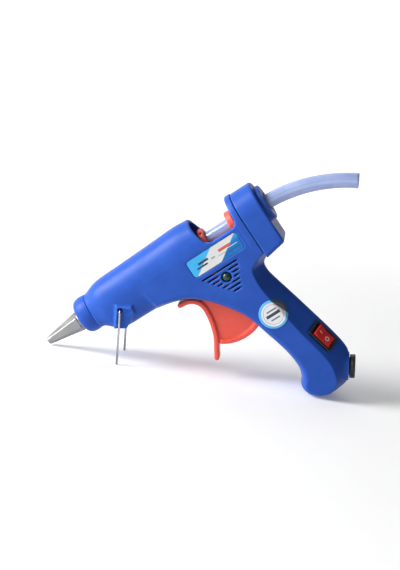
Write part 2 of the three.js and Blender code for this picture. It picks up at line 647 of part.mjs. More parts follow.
const SPRING_TURNS = 3;
const SPRING_RADIUS = 2.9;
const springCoil = Array.from({ length: SPRING_TURNS * 12 + 1 }, (_, i) => {
  const angle = (i / 12) * 2 * Math.PI;
  return new THREE.Vector3(
    SPRING_POST.x + SPRING_RADIUS * Math.cos(angle),
    5.4 + (i / 12) * 0.85,
    SPRING_POST.y + SPRING_RADIUS * Math.sin(angle),
  );
});
const springPath = [
  new THREE.Vector3(SPRING_POST.x + SPRING_RADIUS, 5.4, SPRING_POST.y - 5),
  ...springCoil,
  new THREE.Vector3(SPRING_POST.x + SPRING_RADIUS, 7.95, SPRING_POST.y + 5),
];
add('trigger_spring', tube(springPath, 0.32, 44, 5), STEEL, 0.3, 1);

// ---- carriage and glue stick ----
const carriage = joined(
  turned([[88.5, 4], [88.5, 6.3], [91.7, 6.3], [91.7, 4]], 28),
  turned([[103.4, 4], [103.4, 6.4], [106.6, 6.4], [106.6, 4]], 28),
  block([90, 105], [-6, -4.3], [-5, -2.2]),
  block([90, 105], [4.3, 6], [-5, -2.2]),
  block([83.6, 90.3], [-4, -2.1], [-10.4, -4.8]),
  block([83.6, 90.3], [2.1, 4], [-10.4, -4.8]),
).subtract(joined(
  block([88, 93], [-2.1, 2.1], [-12, -4.3]),
  rod([80, 0, 0], [110, 0, 0], 4, 28),
  rod([90, -1.9, 2.2], [90, -5.3, 6], 0.6, 10),
  block([DRIVE_PIN.x - 1.3, DRIVE_PIN.x + 1.3], [-5, 5], [DRIVE_PIN.y - 1.7, DRIVE_PIN.y + 1.5]),
));
add('carriage', carriage, ORANGE, 0.45);

function stickRing(x, z, lean) {
  const sides = 18;
  return Array.from({ length: sides }, (_, i) => {
    const angle = (i / sides) * 2 * Math.PI;
    const up = STICK_RADIUS * Math.sin(angle);
    return new THREE.Vector3(
      x + up * Math.sin(lean),
      STICK_RADIUS * Math.cos(angle),
      z + up * Math.cos(lean),
    );
  });
}

const STICK_BEND_STEPS = 9;
const stickRings = [stickRing(STICK_FRONT, 0, 0)];
for (let i = 0; i <= STICK_BEND_STEPS; i += 1) {
  const lean = (STICK_BEND_ANGLE * i) / STICK_BEND_STEPS;
  const x = STICK_BEND_START + STICK_BEND_RADIUS * Math.sin(lean);
  stickRings.push(stickRing(x, -STICK_BEND_RADIUS * (1 - Math.cos(lean)), lean));
}
add('glue_stick', loft(stickRings, fan(18)), 0xb4cbe6, 0.2);

// ---- stand ----
// One wire in the plane of Y and the legs: up one leg, across through the barrel, down the other.
const BEND_RADIUS = 1.3;
const legEnd = (FLOOR - STAND_PIVOT.dot(down)) / LEG.dot(down) + 1;

function standPoint(along, across) {
  const place = STAND_PIVOT.clone().addScaledVector(LEG, along);
  return new THREE.Vector3(place.x, across, place.y);
}

// "turn" is the wire's heading in its own plane, from half a turn on the way up to a whole one on the way down.
function standRing(along, across, turn) {
  const sides = 10;
  return Array.from({ length: sides }, (_, i) => {
    const angle = (i / sides) * 2 * Math.PI;
    const inPlane = WIRE_RADIUS * Math.cos(angle);
    const point = standPoint(along - inPlane * Math.sin(turn), across - inPlane * Math.cos(turn));
    const offPlane = WIRE_RADIUS * Math.sin(angle);
    return point.add(new THREE.Vector3(AHEAD.x * offPlane, 0, AHEAD.y * offPlane));
  });
}

const standRings = [standRing(legEnd, -STAND_HALF_SPACING, Math.PI)];
for (const side of [-1, 1]) {
  const bend = Array.from({ length: 5 }, (_, i) => {
    const angle = (i / 4) * (Math.PI / 2);
    const along = BEND_RADIUS * (1 - Math.sin(angle));
    const across = side * (STAND_HALF_SPACING - BEND_RADIUS * (1 - Math.cos(angle)));
    return standRing(along, across, side < 0 ? Math.PI + angle : 2 * Math.PI - angle);
  });
  standRings.push(...(side < 0 ? bend : bend.reverse()));
}
standRings.push(standRing(legEnd, STAND_HALF_SPACING, 2 * Math.PI));
add('stand_wire', loft(standRings, fan(10)).subtract(floorBlock), STEEL, 0.25, 1);

// ---- indicator lamp ----
const [lampX, lampZ] = INDICATOR.toArray();
const lampDome = solid(new THREE.SphereGeometry(2.45, 16, 10).translate(lampX, -10.2, lampZ));
add('indicator_lens', joined(
  crossRod([lampX, lampZ], -10.4, -8.8, 2.45, 20),
  lampDome.intersect(block([80, 100], [-14, -9.6], [-30, 0])),
  crossRod([lampX, lampZ], -9.3, -8.8, 2.65, 20),
), 0x2b5a45, 0.2);
add('indicator_board', block([87.2, 96], [-8.5, -7.5], [-22, -13.5]), 0x3f6b3a, 0.6);
add('indicator_resistor', rod([88.8, -6.4, -15], [93, -6.4, -15], 0.8, 10), 0xc9b48a, 0.6);

// ---- rocker switch ----
const ROCKER_PIVOT_DEPTH = 1.6;
const ROCKER_TILT = THREE.MathUtils.degToRad(6.5);
const switchBody = joined(
  switchBlock([-6.6, 6.6], [-4.7, 4.7], [0, 0.9]),
  switchBlock([-5.9, 5.9], [-4, 4], [-9, 0.5]),
).subtract(switchBlock([-5.3, 5.3], [-3.55, 3.55], [-5, 2]));
add('switch_body', switchBody, BLACK, 0.4);

const rockerShape = new THREE.Shape([
  [-4.6, 1.5], [-4.65, -0.6], [-1.6, -3.6], [1.6, -3.6], [4.65, -0.6], [4.6, 1.5], [2.2, 1.05], [0, 0.9],
  [-2.2, 1.05],
].map(([along, out]) => new THREE.Vector2(along, out)));
const rockerGeometry = new THREE.ExtrudeGeometry(rockerShape, { depth: 6.6, bevelEnabled: false })
  .translate(0, ROCKER_PIVOT_DEPTH, -3.3)
  .rotateZ(-ROCKER_TILT)
  .translate(0, -ROCKER_PIVOT_DEPTH, 0);
placed(rockerGeometry, SWITCH.origin, SWITCH.along, SWITCH.out, SWITCH.across.clone().negate());
add('switch_rocker', solid(rockerGeometry), 0xc2323a, 0.35);

[-3, 3].forEach((along, i) => {
  const blade = switchBlock([along - 0.35, along + 0.35], [-1.5, 1.5], [-13, -9.3]);
  add(`switch_terminal_${i + 1}`, blade, BRASS, 0.35, 1);
});

// ---- cord gland and clamp ----
const gland = joined(
  glandRod(0.6, 3.1, 5.6, 24),
  glandRod(-4.4, 1, 4.2, 16),
  glandRod(-4.4, -2.4, 4.9, 16),
).subtract(glandRod(-6, 5, 2.6, 16));
add('cord_gland', gland, BLACK, 0.5);

const clampAcross = new THREE.Vector2(-CLAMP_ALONG.y, CLAMP_ALONG.x);
const clampOutline = [[-5.4, -2.2], [5.4, -2.2], [5.4, 2.2], [-5.4, 2.2]].map(([along, across]) => (
  CLAMP_CENTRE.clone().addScaledVector(CLAMP_ALONG, along).addScaledVector(clampAcross, across).toArray()
));
add('cord_clamp', plate(clampOutline, -2.9, -1.4)
  .subtract(joined(...CLAMP_SCREWS.map((place) => crossRod(place, -5, 0, 1.1, 10)))), BLACK, 0.5);
CLAMP_SCREWS.forEach((place, i) => {
  add(`clamp_screw_${i + 1}`, joined(
    crossRod(place, -8, -0.9, 0.85, 10),
    crossRod(place, -1.1, -0.2, 1.6, 12),
  ), STEEL, 0.35, 1);
});

// ---- leads inside the housing ----
const LEAD_ROUTES = {
  lead_live: [
    [108, 2, -82.2], [105.5, 4.5, -80], [102.5, 6, -76], [101, 5.5, -72.5], [100.9, 4.9, -70.6],
  ],
  lead_switched: [
    [99.6, 4.6, -64.6], [101, 7, -62], [104, 8, -58], [102, 8, -48], [98.8, 9.1, -37], [95.4, 9.2, -27],
    [88, 8.2, -17.5], [78, 8.5, -9.5], [72, 8.5, -6.6], [68, 7.6, -6], [65, 6, -7.8], [61.2, 2.2, -9.6],
  ],
  lead_neutral: [
    [108.2, -0.6, -83.6], [106.5, 3.4, -83.4], [104.5, 7.8, -78], [104.9, 8, -66], [103.6, 6.3, -52],
    [100, 6.3, -38], [96.5, 6.2, -27], [90, 6.4, -14.5], [79, 7, -7.6], [71, 7.8, -4.2],
    [67, 7.8, -3.8], [64, 6.6, -5], [61.2, 3, -6.5],
  ],
};
for (const [name, route] of Object.entries(LEAD_ROUTES)) {
  const points = route.map((place) => new THREE.Vector3(...place));
  add(name, tube(points, 0.55, 22, 5), name === 'lead_neutral' ? 0x3b4a86 : 0x8a3a2c, 0.6);
}

// ---- stand the gun up ----
gun.rotation.y = -TILT;
gun.updateMatrixWorld(true);
const bounds = new THREE.Box3();
for (const piece of gun.children) bounds.expandByObject(piece, true);
gun.position.set(-(bounds.min.x + bounds.max.x) / 2, -(bounds.min.y + bounds.max.y) / 2, -bounds.min.z);

const glueGun = new THREE.Group();
glueGun.add(gun);

export default glueGun;
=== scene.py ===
"""The looks of the small glue gun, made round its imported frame.

Shapes are worked out in the gun's own design frame, in millimetres: X rearwards along the barrel axis from
the nozzle tip, Z square to it, Y across with the label side at -Y. to_row() turns them into the row frame.
"""
import json
import math

import bpy
import numpy as np
from mathutils import Matrix, Vector


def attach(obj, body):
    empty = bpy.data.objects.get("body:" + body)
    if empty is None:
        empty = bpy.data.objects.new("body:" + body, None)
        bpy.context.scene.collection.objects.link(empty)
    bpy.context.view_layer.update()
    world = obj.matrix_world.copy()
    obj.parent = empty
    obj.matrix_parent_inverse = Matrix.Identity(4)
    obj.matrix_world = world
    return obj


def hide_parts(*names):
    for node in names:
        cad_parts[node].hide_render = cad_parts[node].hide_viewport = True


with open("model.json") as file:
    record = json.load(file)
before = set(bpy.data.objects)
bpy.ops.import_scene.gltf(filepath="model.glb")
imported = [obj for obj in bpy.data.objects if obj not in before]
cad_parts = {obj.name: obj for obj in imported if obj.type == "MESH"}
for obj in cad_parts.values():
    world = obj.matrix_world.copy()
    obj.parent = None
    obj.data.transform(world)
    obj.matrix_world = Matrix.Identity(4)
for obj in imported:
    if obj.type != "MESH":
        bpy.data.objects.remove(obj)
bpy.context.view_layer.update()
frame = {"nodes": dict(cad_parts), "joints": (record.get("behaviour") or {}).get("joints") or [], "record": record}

JOINTS = {joint["name"]: joint for joint in frame["joints"]}

# ---- the design frame ----
TILT = math.radians(42.5)
TRIGGER_PIVOT = np.array([83.5, 0.0, -25.0])
TURN = np.array([
    [math.cos(TILT), 0, -math.sin(TILT)],
    [0, 1, 0],
    [math.sin(TILT), 0, math.cos(TILT)],
])
ORIGIN = np.array(JOINTS["trigger_squeeze"]["pos_m"]) * 1000 - TURN @ TRIGGER_PIVOT
UP = TURN.T @ np.array([0, 0, 1.0])  # the bench's normal, seen from the design frame


def to_row(points):
    return (np.asarray(points, float) @ TURN.T + ORIGIN) / 1000


# ---- driving dimensions, in millimetres ----
HALF_WIDTH = 12
WALL = 1.8
PARTING = 0.06  # each shell stops this far from the middle plane
STICK_RADIUS = 3.5
NOSE_RISE = 0.8
STAND_PIVOT = np.array([40.4, -4.6])
STAND_LEAN = math.radians(38)
FOLD_ANGLE = math.radians(84)
STAND_HALF_SPACING = 12.9
WIRE_RADIUS = 0.5
BARREL_FRONT, BARREL_REAR = 26.88, 110.3
FLANGE_FRONT, FLANGE_REAR = 107.5, 110.6
PAD_FACE = 12.7  # the raised pads at the stand's pivot
STICK_BORE = 4.4
SCREW_PLACES = [(68, -10.3), (100.8, -14.6), (99.8, -58), (98, -79.5)]
INDICATOR = np.array([90.4, -17.9])
LABEL = {"x": 91.6, "z": -6.6, "length": 27, "height": 8.3, "corner": 1.4}
STICKER = {"x": 99, "z": -43.9, "radius": 6.75}
GLAND_AXIS = np.array([0.819, 0, -0.573]) / math.hypot(0.819, 0.573)
GLAND_SEAT = np.array([113.15, 0, -85.4])
DRIVE_ARM = 17.6
DRIVE_ARM_LEAN = math.radians(11)
PIVOT = TRIGGER_PIVOT[[0, 2]]
DRIVE_PIN = PIVOT + DRIVE_ARM * np.array([math.sin(DRIVE_ARM_LEAN), math.cos(DRIVE_ARM_LEAN)])


# ---- curves ----
def spline(points, steps):
    """A Catmull-Rom curve through the points, with that many steps between each two."""
    p = np.asarray(points, float)
    found = []
    for i in range(len(p) - 1):
        before, start, end, after = p[max(i - 1, 0)], p[i], p[i + 1], p[min(i + 2, len(p) - 1)]
        leave, arrive = (end - before) / 2, (after - start) / 2
        t = (np.arange(steps) / steps)[:, None]
        found.append((2 * start - 2 * end + leave + arrive) * t**3
                     + (3 * end - 3 * start - 2 * leave - arrive) * t**2 + leave * t + start)
    return np.vstack([*found, p[-1:]])


def arc(centre, radius, start, end, steps):
    angle = np.radians(np.linspace(start, end, steps + 1))
    return np.stack([centre[0] + radius * np.cos(angle), centre[1] + radius * np.sin(angle)], 1)


def rounded_rectangle(x, z, width, height, corner):
    w, h = width / 2 - corner, height / 2 - corner
    corners = ((1, -1, -90), (1, 1, 0), (-1, 1, 90), (-1, -1, 180))
    return np.vstack([
        arc((x + i * w, z + k * h), corner, start, start + 90, 6) for i, k, start in corners
    ])


def polygon_distance(outline, x, z, closed=True):
    """Signed distance to an outline, negative inside it."""
    outline = np.asarray(outline, np.float32)
    x, z = np.broadcast_arrays(x, z)
    nearest = np.full(x.shape, 1e9, np.float32)
    inside = np.zeros(x.shape, bool)
    count = len(outline) if closed else len(outline) - 1
    for i in range(count):
        (ax, az), (bx, bz) = outline[i], outline[(i + 1) % len(outline)]
        dx, dz = bx - ax, bz - az
        share = np.clip(((x - ax) * dx + (z - az) * dz) / max(dx * dx + dz * dz, 1e-9), 0, 1)
        nearest = np.minimum(nearest, (x - ax - share * dx) ** 2 + (z - az - share * dz) ** 2)
        if closed and az != bz:
            inside ^= ((az > z) != (bz > z)) & (x < dx * (z - az) / (bz - az) + ax)
    distance = np.sqrt(nearest)
    return np.where(inside, -distance, distance)


# ---- solids as distance fields ----
def soft_min(a, b, blend):
    if np.isscalar(blend) and not blend:
        return np.minimum(a, b)
    share = np.clip(0.5 + 0.5 * (b - a) / blend, 0, 1)
    return b + (a - b) * share - blend * share * (1 - share)


def soft_max(a, b, blend):
    return -soft_min(-a, -b, blend)


def soft_box(parts, rounding):
    """A solid that lies inside every one of the parts, with its outer edges rounded."""
    parts = [part + rounding for part in parts]
    outside = np.sqrt(sum(np.maximum(part, 0) ** 2 for part in parts))
    inside = parts[0]
    for part in parts[1:]:
        inside = np.maximum(inside, part)
    return outside + np.minimum(inside, 0) - rounding


class Field:
    """Distances on a grid, negative inside the solid."""

    def __init__(self, low, high, step):
        self.low = np.array(low, float)
        self.step = step
        counts = [int(math.ceil((b - a) / step)) + 1 for a, b in zip(low, high)]
        self.axes = [(self.low[k] + step * np.arange(n)).astype(np.float32) for k, n in enumerate(counts)]
        self.value = np.full(counts, 1e3, np.float32)

    def crop(self, *corners):
        """A copy of the field, or of the part of it between two corners."""
        cut, *_ = self.part(*corners)
        other = object.__new__(Field)
        axes = [axis[c] for axis, c in zip(self.axes, cut)]
        other.__dict__.update(step=self.step, axes=axes, value=self.value[cut].copy())
        other.low = np.array([axis[0] for axis in axes], float)
        return other

    def part(self, low=(-1e9,) * 3, high=(1e9,) * 3):
        """The slices and coordinates of the box from low to high."""
        cut = tuple(
            slice(int(np.searchsorted(a, l - self.step)), int(np.searchsorted(a, h + self.step)))
            for a, l, h in zip(self.axes, low, high)
        )
        x, y, z = (a[c] for a, c in zip(self.axes, cut))
        return cut, x[:, None, None], y[None, :, None], z[None, None, :]

    def add(self, shape, blend=0.0, *corners):
        cut, x, y, z = self.part(*corners)
        self.value[cut] = soft_min(self.value[cut], shape(x, y, z), blend)

    def cut(self, shape, blend, *corners):
        cut, x, y, z = self.part(*corners)
        self.value[cut] = soft_max(self.value[cut], -shape(x, y, z), blend)

    def even(self, values):
        """Values scaled to slope by about one per millimetre, so that they read as distances."""
        slopes = np.gradient(values, self.step)
        steepness = np.sqrt(slopes[0] ** 2 + slopes[1] ** 2 + slopes[2] ** 2)
        return (values / np.maximum(steepness, 1e-3)).astype(np.float32)

    def sample(self, points):
        """Values at any points, by straight lines between the grid's own."""
        place = (points - self.low) / self.step
        base = np.clip(np.floor(place).astype(int), 0, np.array(self.value.shape) - 2)
        share = np.clip(place - base, 0, 1)
        total = np.zeros(len(points))
        for corner in range(8):
            bits = np.array([corner & 1, corner >> 1 & 1, corner >> 2 & 1])
            weight = np.prod(np.where(bits, share, 1 - share), 1)
            total += weight * self.value[tuple((base + bits).T)]
        return total

    def slope(self, points):
        reach = self.step * 0.6
        changes = [self.sample(points + move) - self.sample(points - move) for move in reach * np.eye(3)]
        return np.stack(changes, 1) / (2 * reach)

    def surface(self, relax=2):
        """The zero surface as vertices and quads that face outwards."""
        f = self.value
        inside = f < 0
        n = np.array(f.shape)
        corners = [(i, j, k) for i in (0, 1) for j in (0, 1) for k in (0, 1)]
        count = np.zeros(n - 1, np.int8)
        for i, j, k in corners:
            count += inside[i:n[0] - 1 + i, j:n[1] - 1 + j, k:n[2] - 1 + k]
        cells = np.argwhere((count > 0) & (count < 8))
        ids = np.full(n - 1, -1, np.int32)
        ids[tuple(cells.T)] = np.arange(len(cells))
        at = {c: f[tuple((cells + c).T)] for c in corners}
        total = np.zeros((len(cells), 3))
        crossings = np.zeros(len(cells))
        for a in corners:
            for axis in range(3):
                if a[axis]:
                    continue
                b = tuple(v + (k == axis) for k, v in enumerate(a))
                crosses = (at[a] < 0) != (at[b] < 0)
                share = np.where(crosses, at[a] / np.where(crosses, at[a] - at[b], 1), 0)
                point = np.tile(np.array(a, float), (len(cells), 1))
                point[:, axis] += share
                total += point * crosses[:, None]
                crossings += crosses
        vertices = self.low + self.step * (cells + total / crossings[:, None])
        quads = []
        for axis in range(3):
            u, v = (axis + 1) % 3, (axis + 2) % 3
            here = [slice(0, None)] * 3
            ahead = [slice(0, None)] * 3
            here[axis], ahead[axis] = slice(0, -1), slice(1, None)
            start, end = inside[tuple(here)], inside[tuple(ahead)]
            edges = np.argwhere(start != end)
            enclosed = [(edges[:, k] > 0) & (edges[:, k] < n[k] - 1) for k in (u, v)]
            edges = edges[enclosed[0] & enclosed[1]]
            ring = []
            for du, dv in ((0, 0), (-1, 0), (-1, -1), (0, -1)):
                cell = edges.copy()
                cell[:, u] += du
                cell[:, v] += dv
                ring.append(ids[tuple(cell.T)])
            ring = np.stack(ring, 1)
            leaves = start[tuple(edges.T)]
            quads.append(np.where(leaves[:, None], ring, ring[:, ::-1]))
        quads = np.vstack(quads)
        for _ in range(relax):
            vertices = self.settle(relaxed(vertices, quads, 0.5))
        return self.settle(vertices), quads

    def settle(self, vertices, rounds=2):
        for _ in range(rounds):
            slope = self.slope(vertices)
            steep = np.maximum((slope**2).sum(1), 0.05)
            move = (self.sample(vertices) / steep)[:, None] * slope
            vertices = vertices - np.clip(move, -self.step, self.step)
        return vertices


def relaxed(vertices, quads, amount):
    """Each vertex moved towards the middle of its neighbours."""
    total = np.zeros_like(vertices)
    count = np.zeros(len(vertices))
    for i in range(4):
        a, b = quads[:, i], quads[:, (i + 1) % 4]
        for here, beside in ((a, b), (b, a)):
            count += np.bincount(here, minlength=len(vertices))
            for k in range(3):
                total[:, k] += np.bincount(here, vertices[beside, k], len(vertices))
    return vertices + amount * (total / np.maximum(count, 1)[:, None] - vertices)


def prism(outline, y_low, y_high, rounding=0.0):
    def shape(x, y, z):
        flat = polygon_distance(outline, x[:, 0, :], z[0, 0, :][None, :])
        return soft_box([flat[:, None, :], y_low - y, y - y_high], rounding)
    return shape


def rod(start, end, radius, rounding=0.0):
    start = np.array(start, float)
    axis = np.array(end, float) - start
    length = np.linalg.norm(axis)
    axis /= length

    def shape(x, y, z):
        along = (x - start[0]) * axis[0] + (y - start[1]) * axis[1] + (z - start[2]) * axis[2]
        reach = (x - start[0]) ** 2 + (y - start[1]) ** 2 + (z - start[2]) ** 2
        away = np.sqrt(np.maximum(reach - along**2, 0))
        return soft_box([away - radius, -along, along - length], rounding)
    return shape


def cross_rod(place, y_low, y_high, radius, rounding=0.0):
    return rod((place[0], y_low, place[1]), (place[0], y_high, place[1]), radius, rounding)


def block_in(origin, axes, low, high, rounding=0.0):
    """A box whose sides run along the given axes."""
    def shape(x, y, z):
        parts = []
        for axis, a, b in zip(axes, low, high):
            along = (x - origin[0]) * axis[0] + (y - origin[1]) * axis[1] + (z - origin[2]) * axis[2]
            parts += [a - along, along - b]
        return soft_box(parts, rounding)
    return shape


def box(low, high, rounding=0.0):
    return block_in((0, 0, 0), np.eye(3), low, high, rounding)


def turned(profile, rise=0.0):
    """A solid turned about the line Y = 0, Z = rise; the profile lists x and radius."""
    def shape(x, y, z):
        radius = np.sqrt(y**2 + (z - rise) ** 2)
        return polygon_distance(profile, x, radius)
    return shape


def arch(x_low, x_high, radius, half, bottom, rounding=0.5, corner=2.0, bottom_slope=0.0):
    """A round-topped solid about the barrel axis, with straight sides."""
    def shape(x, y, z):
        floor = bottom + bottom_slope * (x - x_low)
        top = (np.sqrt((y / half) ** 2 + (np.maximum(z, 0) / radius) ** 2) - 1) * (half + radius) / 2
        lower = soft_box([np.abs(y) - half, floor - z], corner)
        section = np.where(z > 0, top, lower)
        return soft_box([section, x_low - x, x - x_high], rounding)
    return shape


# ---- the shells' outlines, as the CAD draws them ----
# Each station gives x, top, bottom and half width of the barrel.
BARREL_STATIONS = np.array([
    [BARREL_FRONT, 9.4, -7.8, 8.6],
    [28.8, 9.75, -8.5, 9.1],
    [31.2, 10.7, -10.7, 10.05],
    [34.0, 11.5, -13.0, 11.1],
    [38.5, 12.0, -13.9, 11.6],
    [50, 12.3, -14.0, 11.9],
    [67, 12.9, -14.6, 12],
    [80, 13.4, -15, 12],
    [88.5, 12.9, -15, 12],
    [BARREL_REAR, 12.2, -15, 12],
])
BARREL_WAIST = -1
FRONT_EDGE = [
    [55, -13.6], [62, -15.7], [69, -18.2], [76, -23.9], [82, -31.4], [87, -39.6], [90.4, -51],
    [93.4, -62.5], [94.2, -71.5], [92.8, -76.8], [90.4, -80.4], [90.8, -84.6], [94, -89.1], [99.5, -91.9],
]
FRONT_FACE = [
    [55, -9.5], [63.5, -11.9], [71, -15], [78.5, -21.5], [85, -29.4], [90.2, -38.2], [93.8, -50],
    [96.9, -61.5], [98, -71.5], [96.8, -77.6], [93.9, -80.9], [94.2, -83.8], [96.4, -86.6], [99.8, -88.6],
]
BACK_EDGE = [
    [99.5, -91.9], [105, -91.7], [110, -89.9], [116.3, -80.9], [117.4, -75.6], [115.8, -66],
    [113.5, -56.2], [110.3, -43], [107.7, -33], [106.4, -26.6], [107.2, -22.6], [110.6, -20.7],
]
BACK_FACE = [
    [99.8, -88.6], [103.4, -88.3], [106.4, -86], [108.1, -80], [107.9, -73.6], [106.4, -66],
    [104.4, -56.5], [102.6, -44], [100.9, -33], [100.9, -26.6], [102.6, -20.7], [110.6, -17.5],
]
CLOSING = [[FLANGE_REAR, -1], [55, -1]]
OUTLINE_STEPS = 4
NOTCH = np.vstack([
    [[87.9, 18]],
    spline([[87.9, 12.6], [88.25, 8.7], [89.2, 4.8], [90.6, 1.1], [93.2, -0.6]], 5),
    spline([[104.4, -0.6], [106.4, 0.2], [107.5, 2.6]], 5),
    [[107.5, 18]],
])
TRIGGER_SLOT = [
    [63.4, -13.5], [61.5, -19], [72, -30], [80, -42], [87, -51], [91.4, -50.2], [94, -46], [90, -34],
    [80, -20], [72, -14],
]
LEG = np.array([-math.sin(STAND_LEAN), -math.cos(STAND_LEAN)])
AHEAD = np.array([LEG[1], -LEG[0]])
FOLDED_LEG = np.array([
    LEG[0] * math.cos(FOLD_ANGLE) - LEG[1] * math.sin(FOLD_ANGLE),
    LEG[0] * math.sin(FOLD_ANGLE) + LEG[1] * math.cos(FOLD_ANGLE),
])


def beside_leg(along, ahead):
    return STAND_PIVOT + LEG * along + AHEAD * ahead


PAD_OUTLINE = [beside_leg(-2.2, 2.4), beside_leg(9, 2.4), [38, -13.4], [45.2, -9.3], [46.2, -5.6]]
RECESS_OUTLINE = [
    beside_leg(-0.95, 0.95), beside_leg(16, 0.95), [36, -19], STAND_PIVOT + FOLDED_LEG * 12 + [0.9, 0.6],
    STAND_PIVOT + [0.9, 0.6],
]

SWITCH_ALONG = np.array([0.227, 0, -0.974]) / math.hypot(0.227, 0.974)
SWITCH_ACROSS = np.array([9.4, 12, 0.1])
SWITCH_ACROSS = SWITCH_ACROSS - SWITCH_ALONG * (SWITCH_ACROSS @ SWITCH_ALONG)
SWITCH_ACROSS /= np.linalg.norm(SWITCH_ACROSS)
SWITCH_OUT = np.cross(SWITCH_ALONG, SWITCH_ACROSS)
SWITCH_AXES = np.stack([SWITCH_ALONG, SWITCH_ACROSS, SWITCH_OUT])
SWITCH_ORIGIN = np.array([111.2, -6, -65.9]) + 0.6 * SWITCH_OUT


def switch_box(low, high, rounding=0.0):
    return block_in(SWITCH_ORIGIN, SWITCH_AXES, low, high, rounding)


def gland_rod(start, end, radius, rounding=0.0):
    return rod(GLAND_SEAT + GLAND_AXIS * start, GLAND_SEAT + GLAND_AXIS * end, radius, rounding)


def barrel(x, y, z):
    curve = spline(BARREL_STATIONS, 8)
    top, bottom, half = (np.interp(x[:, 0, 0], curve[:, 0], curve[:, k])[:, None, None] for k in (1, 2, 3))
    rise = z - BARREL_WAIST
    height = np.where(rise > 0, top - BARREL_WAIST, BARREL_WAIST - bottom)
    power = np.where(rise > 0, 2.15, 2.6)
    across, up = np.abs(y) / half, np.abs(rise) / height
    return ((across**power + up**power) ** (1 / power) - 1) * (half + height) / 2


def body_sections(x, y, z):
    """The side outline at each distance from the middle plane: round in front, a bevelled roof behind."""
    front, front_face = spline(FRONT_EDGE, OUTLINE_STEPS), spline(FRONT_FACE, OUTLINE_STEPS)
    back, back_face = spline(BACK_EDGE, OUTLINE_STEPS)[1:], spline(BACK_FACE, OUTLINE_STEPS)[1:]
    edge = np.vstack([front, back, CLOSING])
    face = np.vstack([front_face, back_face, CLOSING])
    roof = np.clip((np.arange(len(edge)) - (len(front) - 2 * OUTLINE_STEPS)) / (3 * OUTLINE_STEPS), 0, 1)
    flat_x, flat_z = x[:, 0, :], z[0, 0, :][None, :]
    layers = {}
    sections = []
    for across in np.abs(y[0, :, 0]):
        key = round(float(across), 3)
        if key not in layers:
            u = min(key / HALF_WIDTH, 1)
            rounded = (1 - u**2.4) ** (1 / 2.4)
            ridge = 1 - (math.hypot(u, 0.22) - 0.22) / (math.hypot(1, 0.22) - 0.22)
            share = (rounded * (1 - roof) + ridge * roof)[:, None]
            layers[key] = polygon_distance(face + (edge - face) * share, flat_x, flat_z)
        sections.append(layers[key])
    return np.stack(sections, 1)


# ---- the two shells ----
SHELL_STEP = 0.43
POST_ROOT = 10.5
POST_RADIUS, SCREW_BORE, HEAD_BORE, HEAD_SEAT = 2.8, 1.4, 2.75, 5.5
SPIGOT_RADIUS, NOZZLE_SEAT = 7.1, 5.9
VENT_COUNT, VENT_TOP, VENT_PITCH, VENT_HEIGHT = 7, -13.6, 1.95, 0.8
LENS_HOLE = 2.4
LABEL_SINK = 0.5  # the label's pocket is this much longer and higher than it


def within(x, z, y=(-14, 14)):
    """The low and high corners of the part of the grid that a shape can touch."""
    return tuple(zip(x, y, z))


def around(place, reach, y=(-14, 14)):
    return within(*((middle - reach, middle + reach) for middle in place), y)


outer = Field((20, -13.6, -93.2), (124, 13.6, 14.4), SHELL_STEP)
cut, gx, gy, gz = outer.part(*within((BARREL_FRONT, BARREL_REAR), (-17, 15)))
ends = np.maximum(BARREL_FRONT - gx, gx - BARREL_REAR)
outer.value[cut] = soft_max(outer.even(barrel(gx, gy, gz)), ends, 0.2)
cut, gx, gy, gz = outer.part(*within((52, 119), (-93.2, 0)))
sections = outer.even(body_sections(gx, gy, gz))
drawn_in = 0.9 * np.clip((68 - gx) / 13, 0, 1) ** 2  # the body's front end sinks into the barrel
body_part = soft_box([sections, np.abs(gy) - HALF_WIDTH + drawn_in], 0.35)
joint_blend = np.where(gx < 104, 2.2, 0.4)  # a wide fillet, except under the flange
outer.value[cut] = soft_min(outer.value[cut], body_part, joint_blend)
outer.cut(lambda x, y, z: HALF_WIDTH + 0.02 - np.abs(y) + 0 * x + 0 * z, 0.2)
outer.add(arch(FLANGE_FRONT, FLANGE_REAR, 12.5, 12.1, -12, 0.3, 0.6), 0.3, *within((106, 112), (-14, 14)))
for sides in ((-PAD_FACE, -8), (8, PAD_FACE)):
    outer.add(prism(PAD_OUTLINE, *sides, 0.9), 1.1, *within((33, 52), (-18, 2)))
outer.add(gland_rod(-6, 0.3, 6.6, 0.4), 0.6, *within((100, 120), (-93, -75), (-9, 9)))

shell = outer.crop()
shell.value = np.maximum(outer.value, -(outer.value + WALL))
cut, gx, gy, gz = shell.part(*within((20, 28.2), (-14, 14)))
nose_radius = np.sqrt(gy**2 + (gz - NOSE_RISE) ** 2)
spigot = soft_box([nose_radius - SPIGOT_RADIUS, NOZZLE_SEAT - nose_radius, 20.9 - gx, gx - 28], 0.2)
shell.value[cut] = np.minimum(np.maximum(outer.value[cut], NOZZLE_SEAT - nose_radius), spigot)
cut, gx, gy, gz = shell.part(*within((106, 112), (-21, 14)))
shell.value[cut] = np.minimum(shell.value[cut], np.maximum(outer.value[cut], 107 - gx))
shell.add(arch(FLANGE_REAR - 1, 118.8, 9.7, 9.6, -15.8, 0.3, 2), 0.2,
          *within((106, 124), (-18, 14), (-13, 13)))
for place in SCREW_PLACES:
    shell.add(cross_rod(place, -POST_ROOT, POST_ROOT, POST_RADIUS), 0.5, *around(place, 4, (-12, 12)))
    shell.cut(cross_rod(place, -9, 14, SCREW_BORE), 0.1, *around(place, 4, (-12, 14)))
    shell.cut(cross_rod(place, HEAD_SEAT, 14, HEAD_BORE), 0.4, *around(place, 4, (4, 14)))
for low, high in ((-POST_ROOT, -5), (5, POST_ROOT)):
    shell.add(cross_rod(PIVOT, low, high, 3.2), 0.4, *around(PIVOT, 5, (-13, 13)))
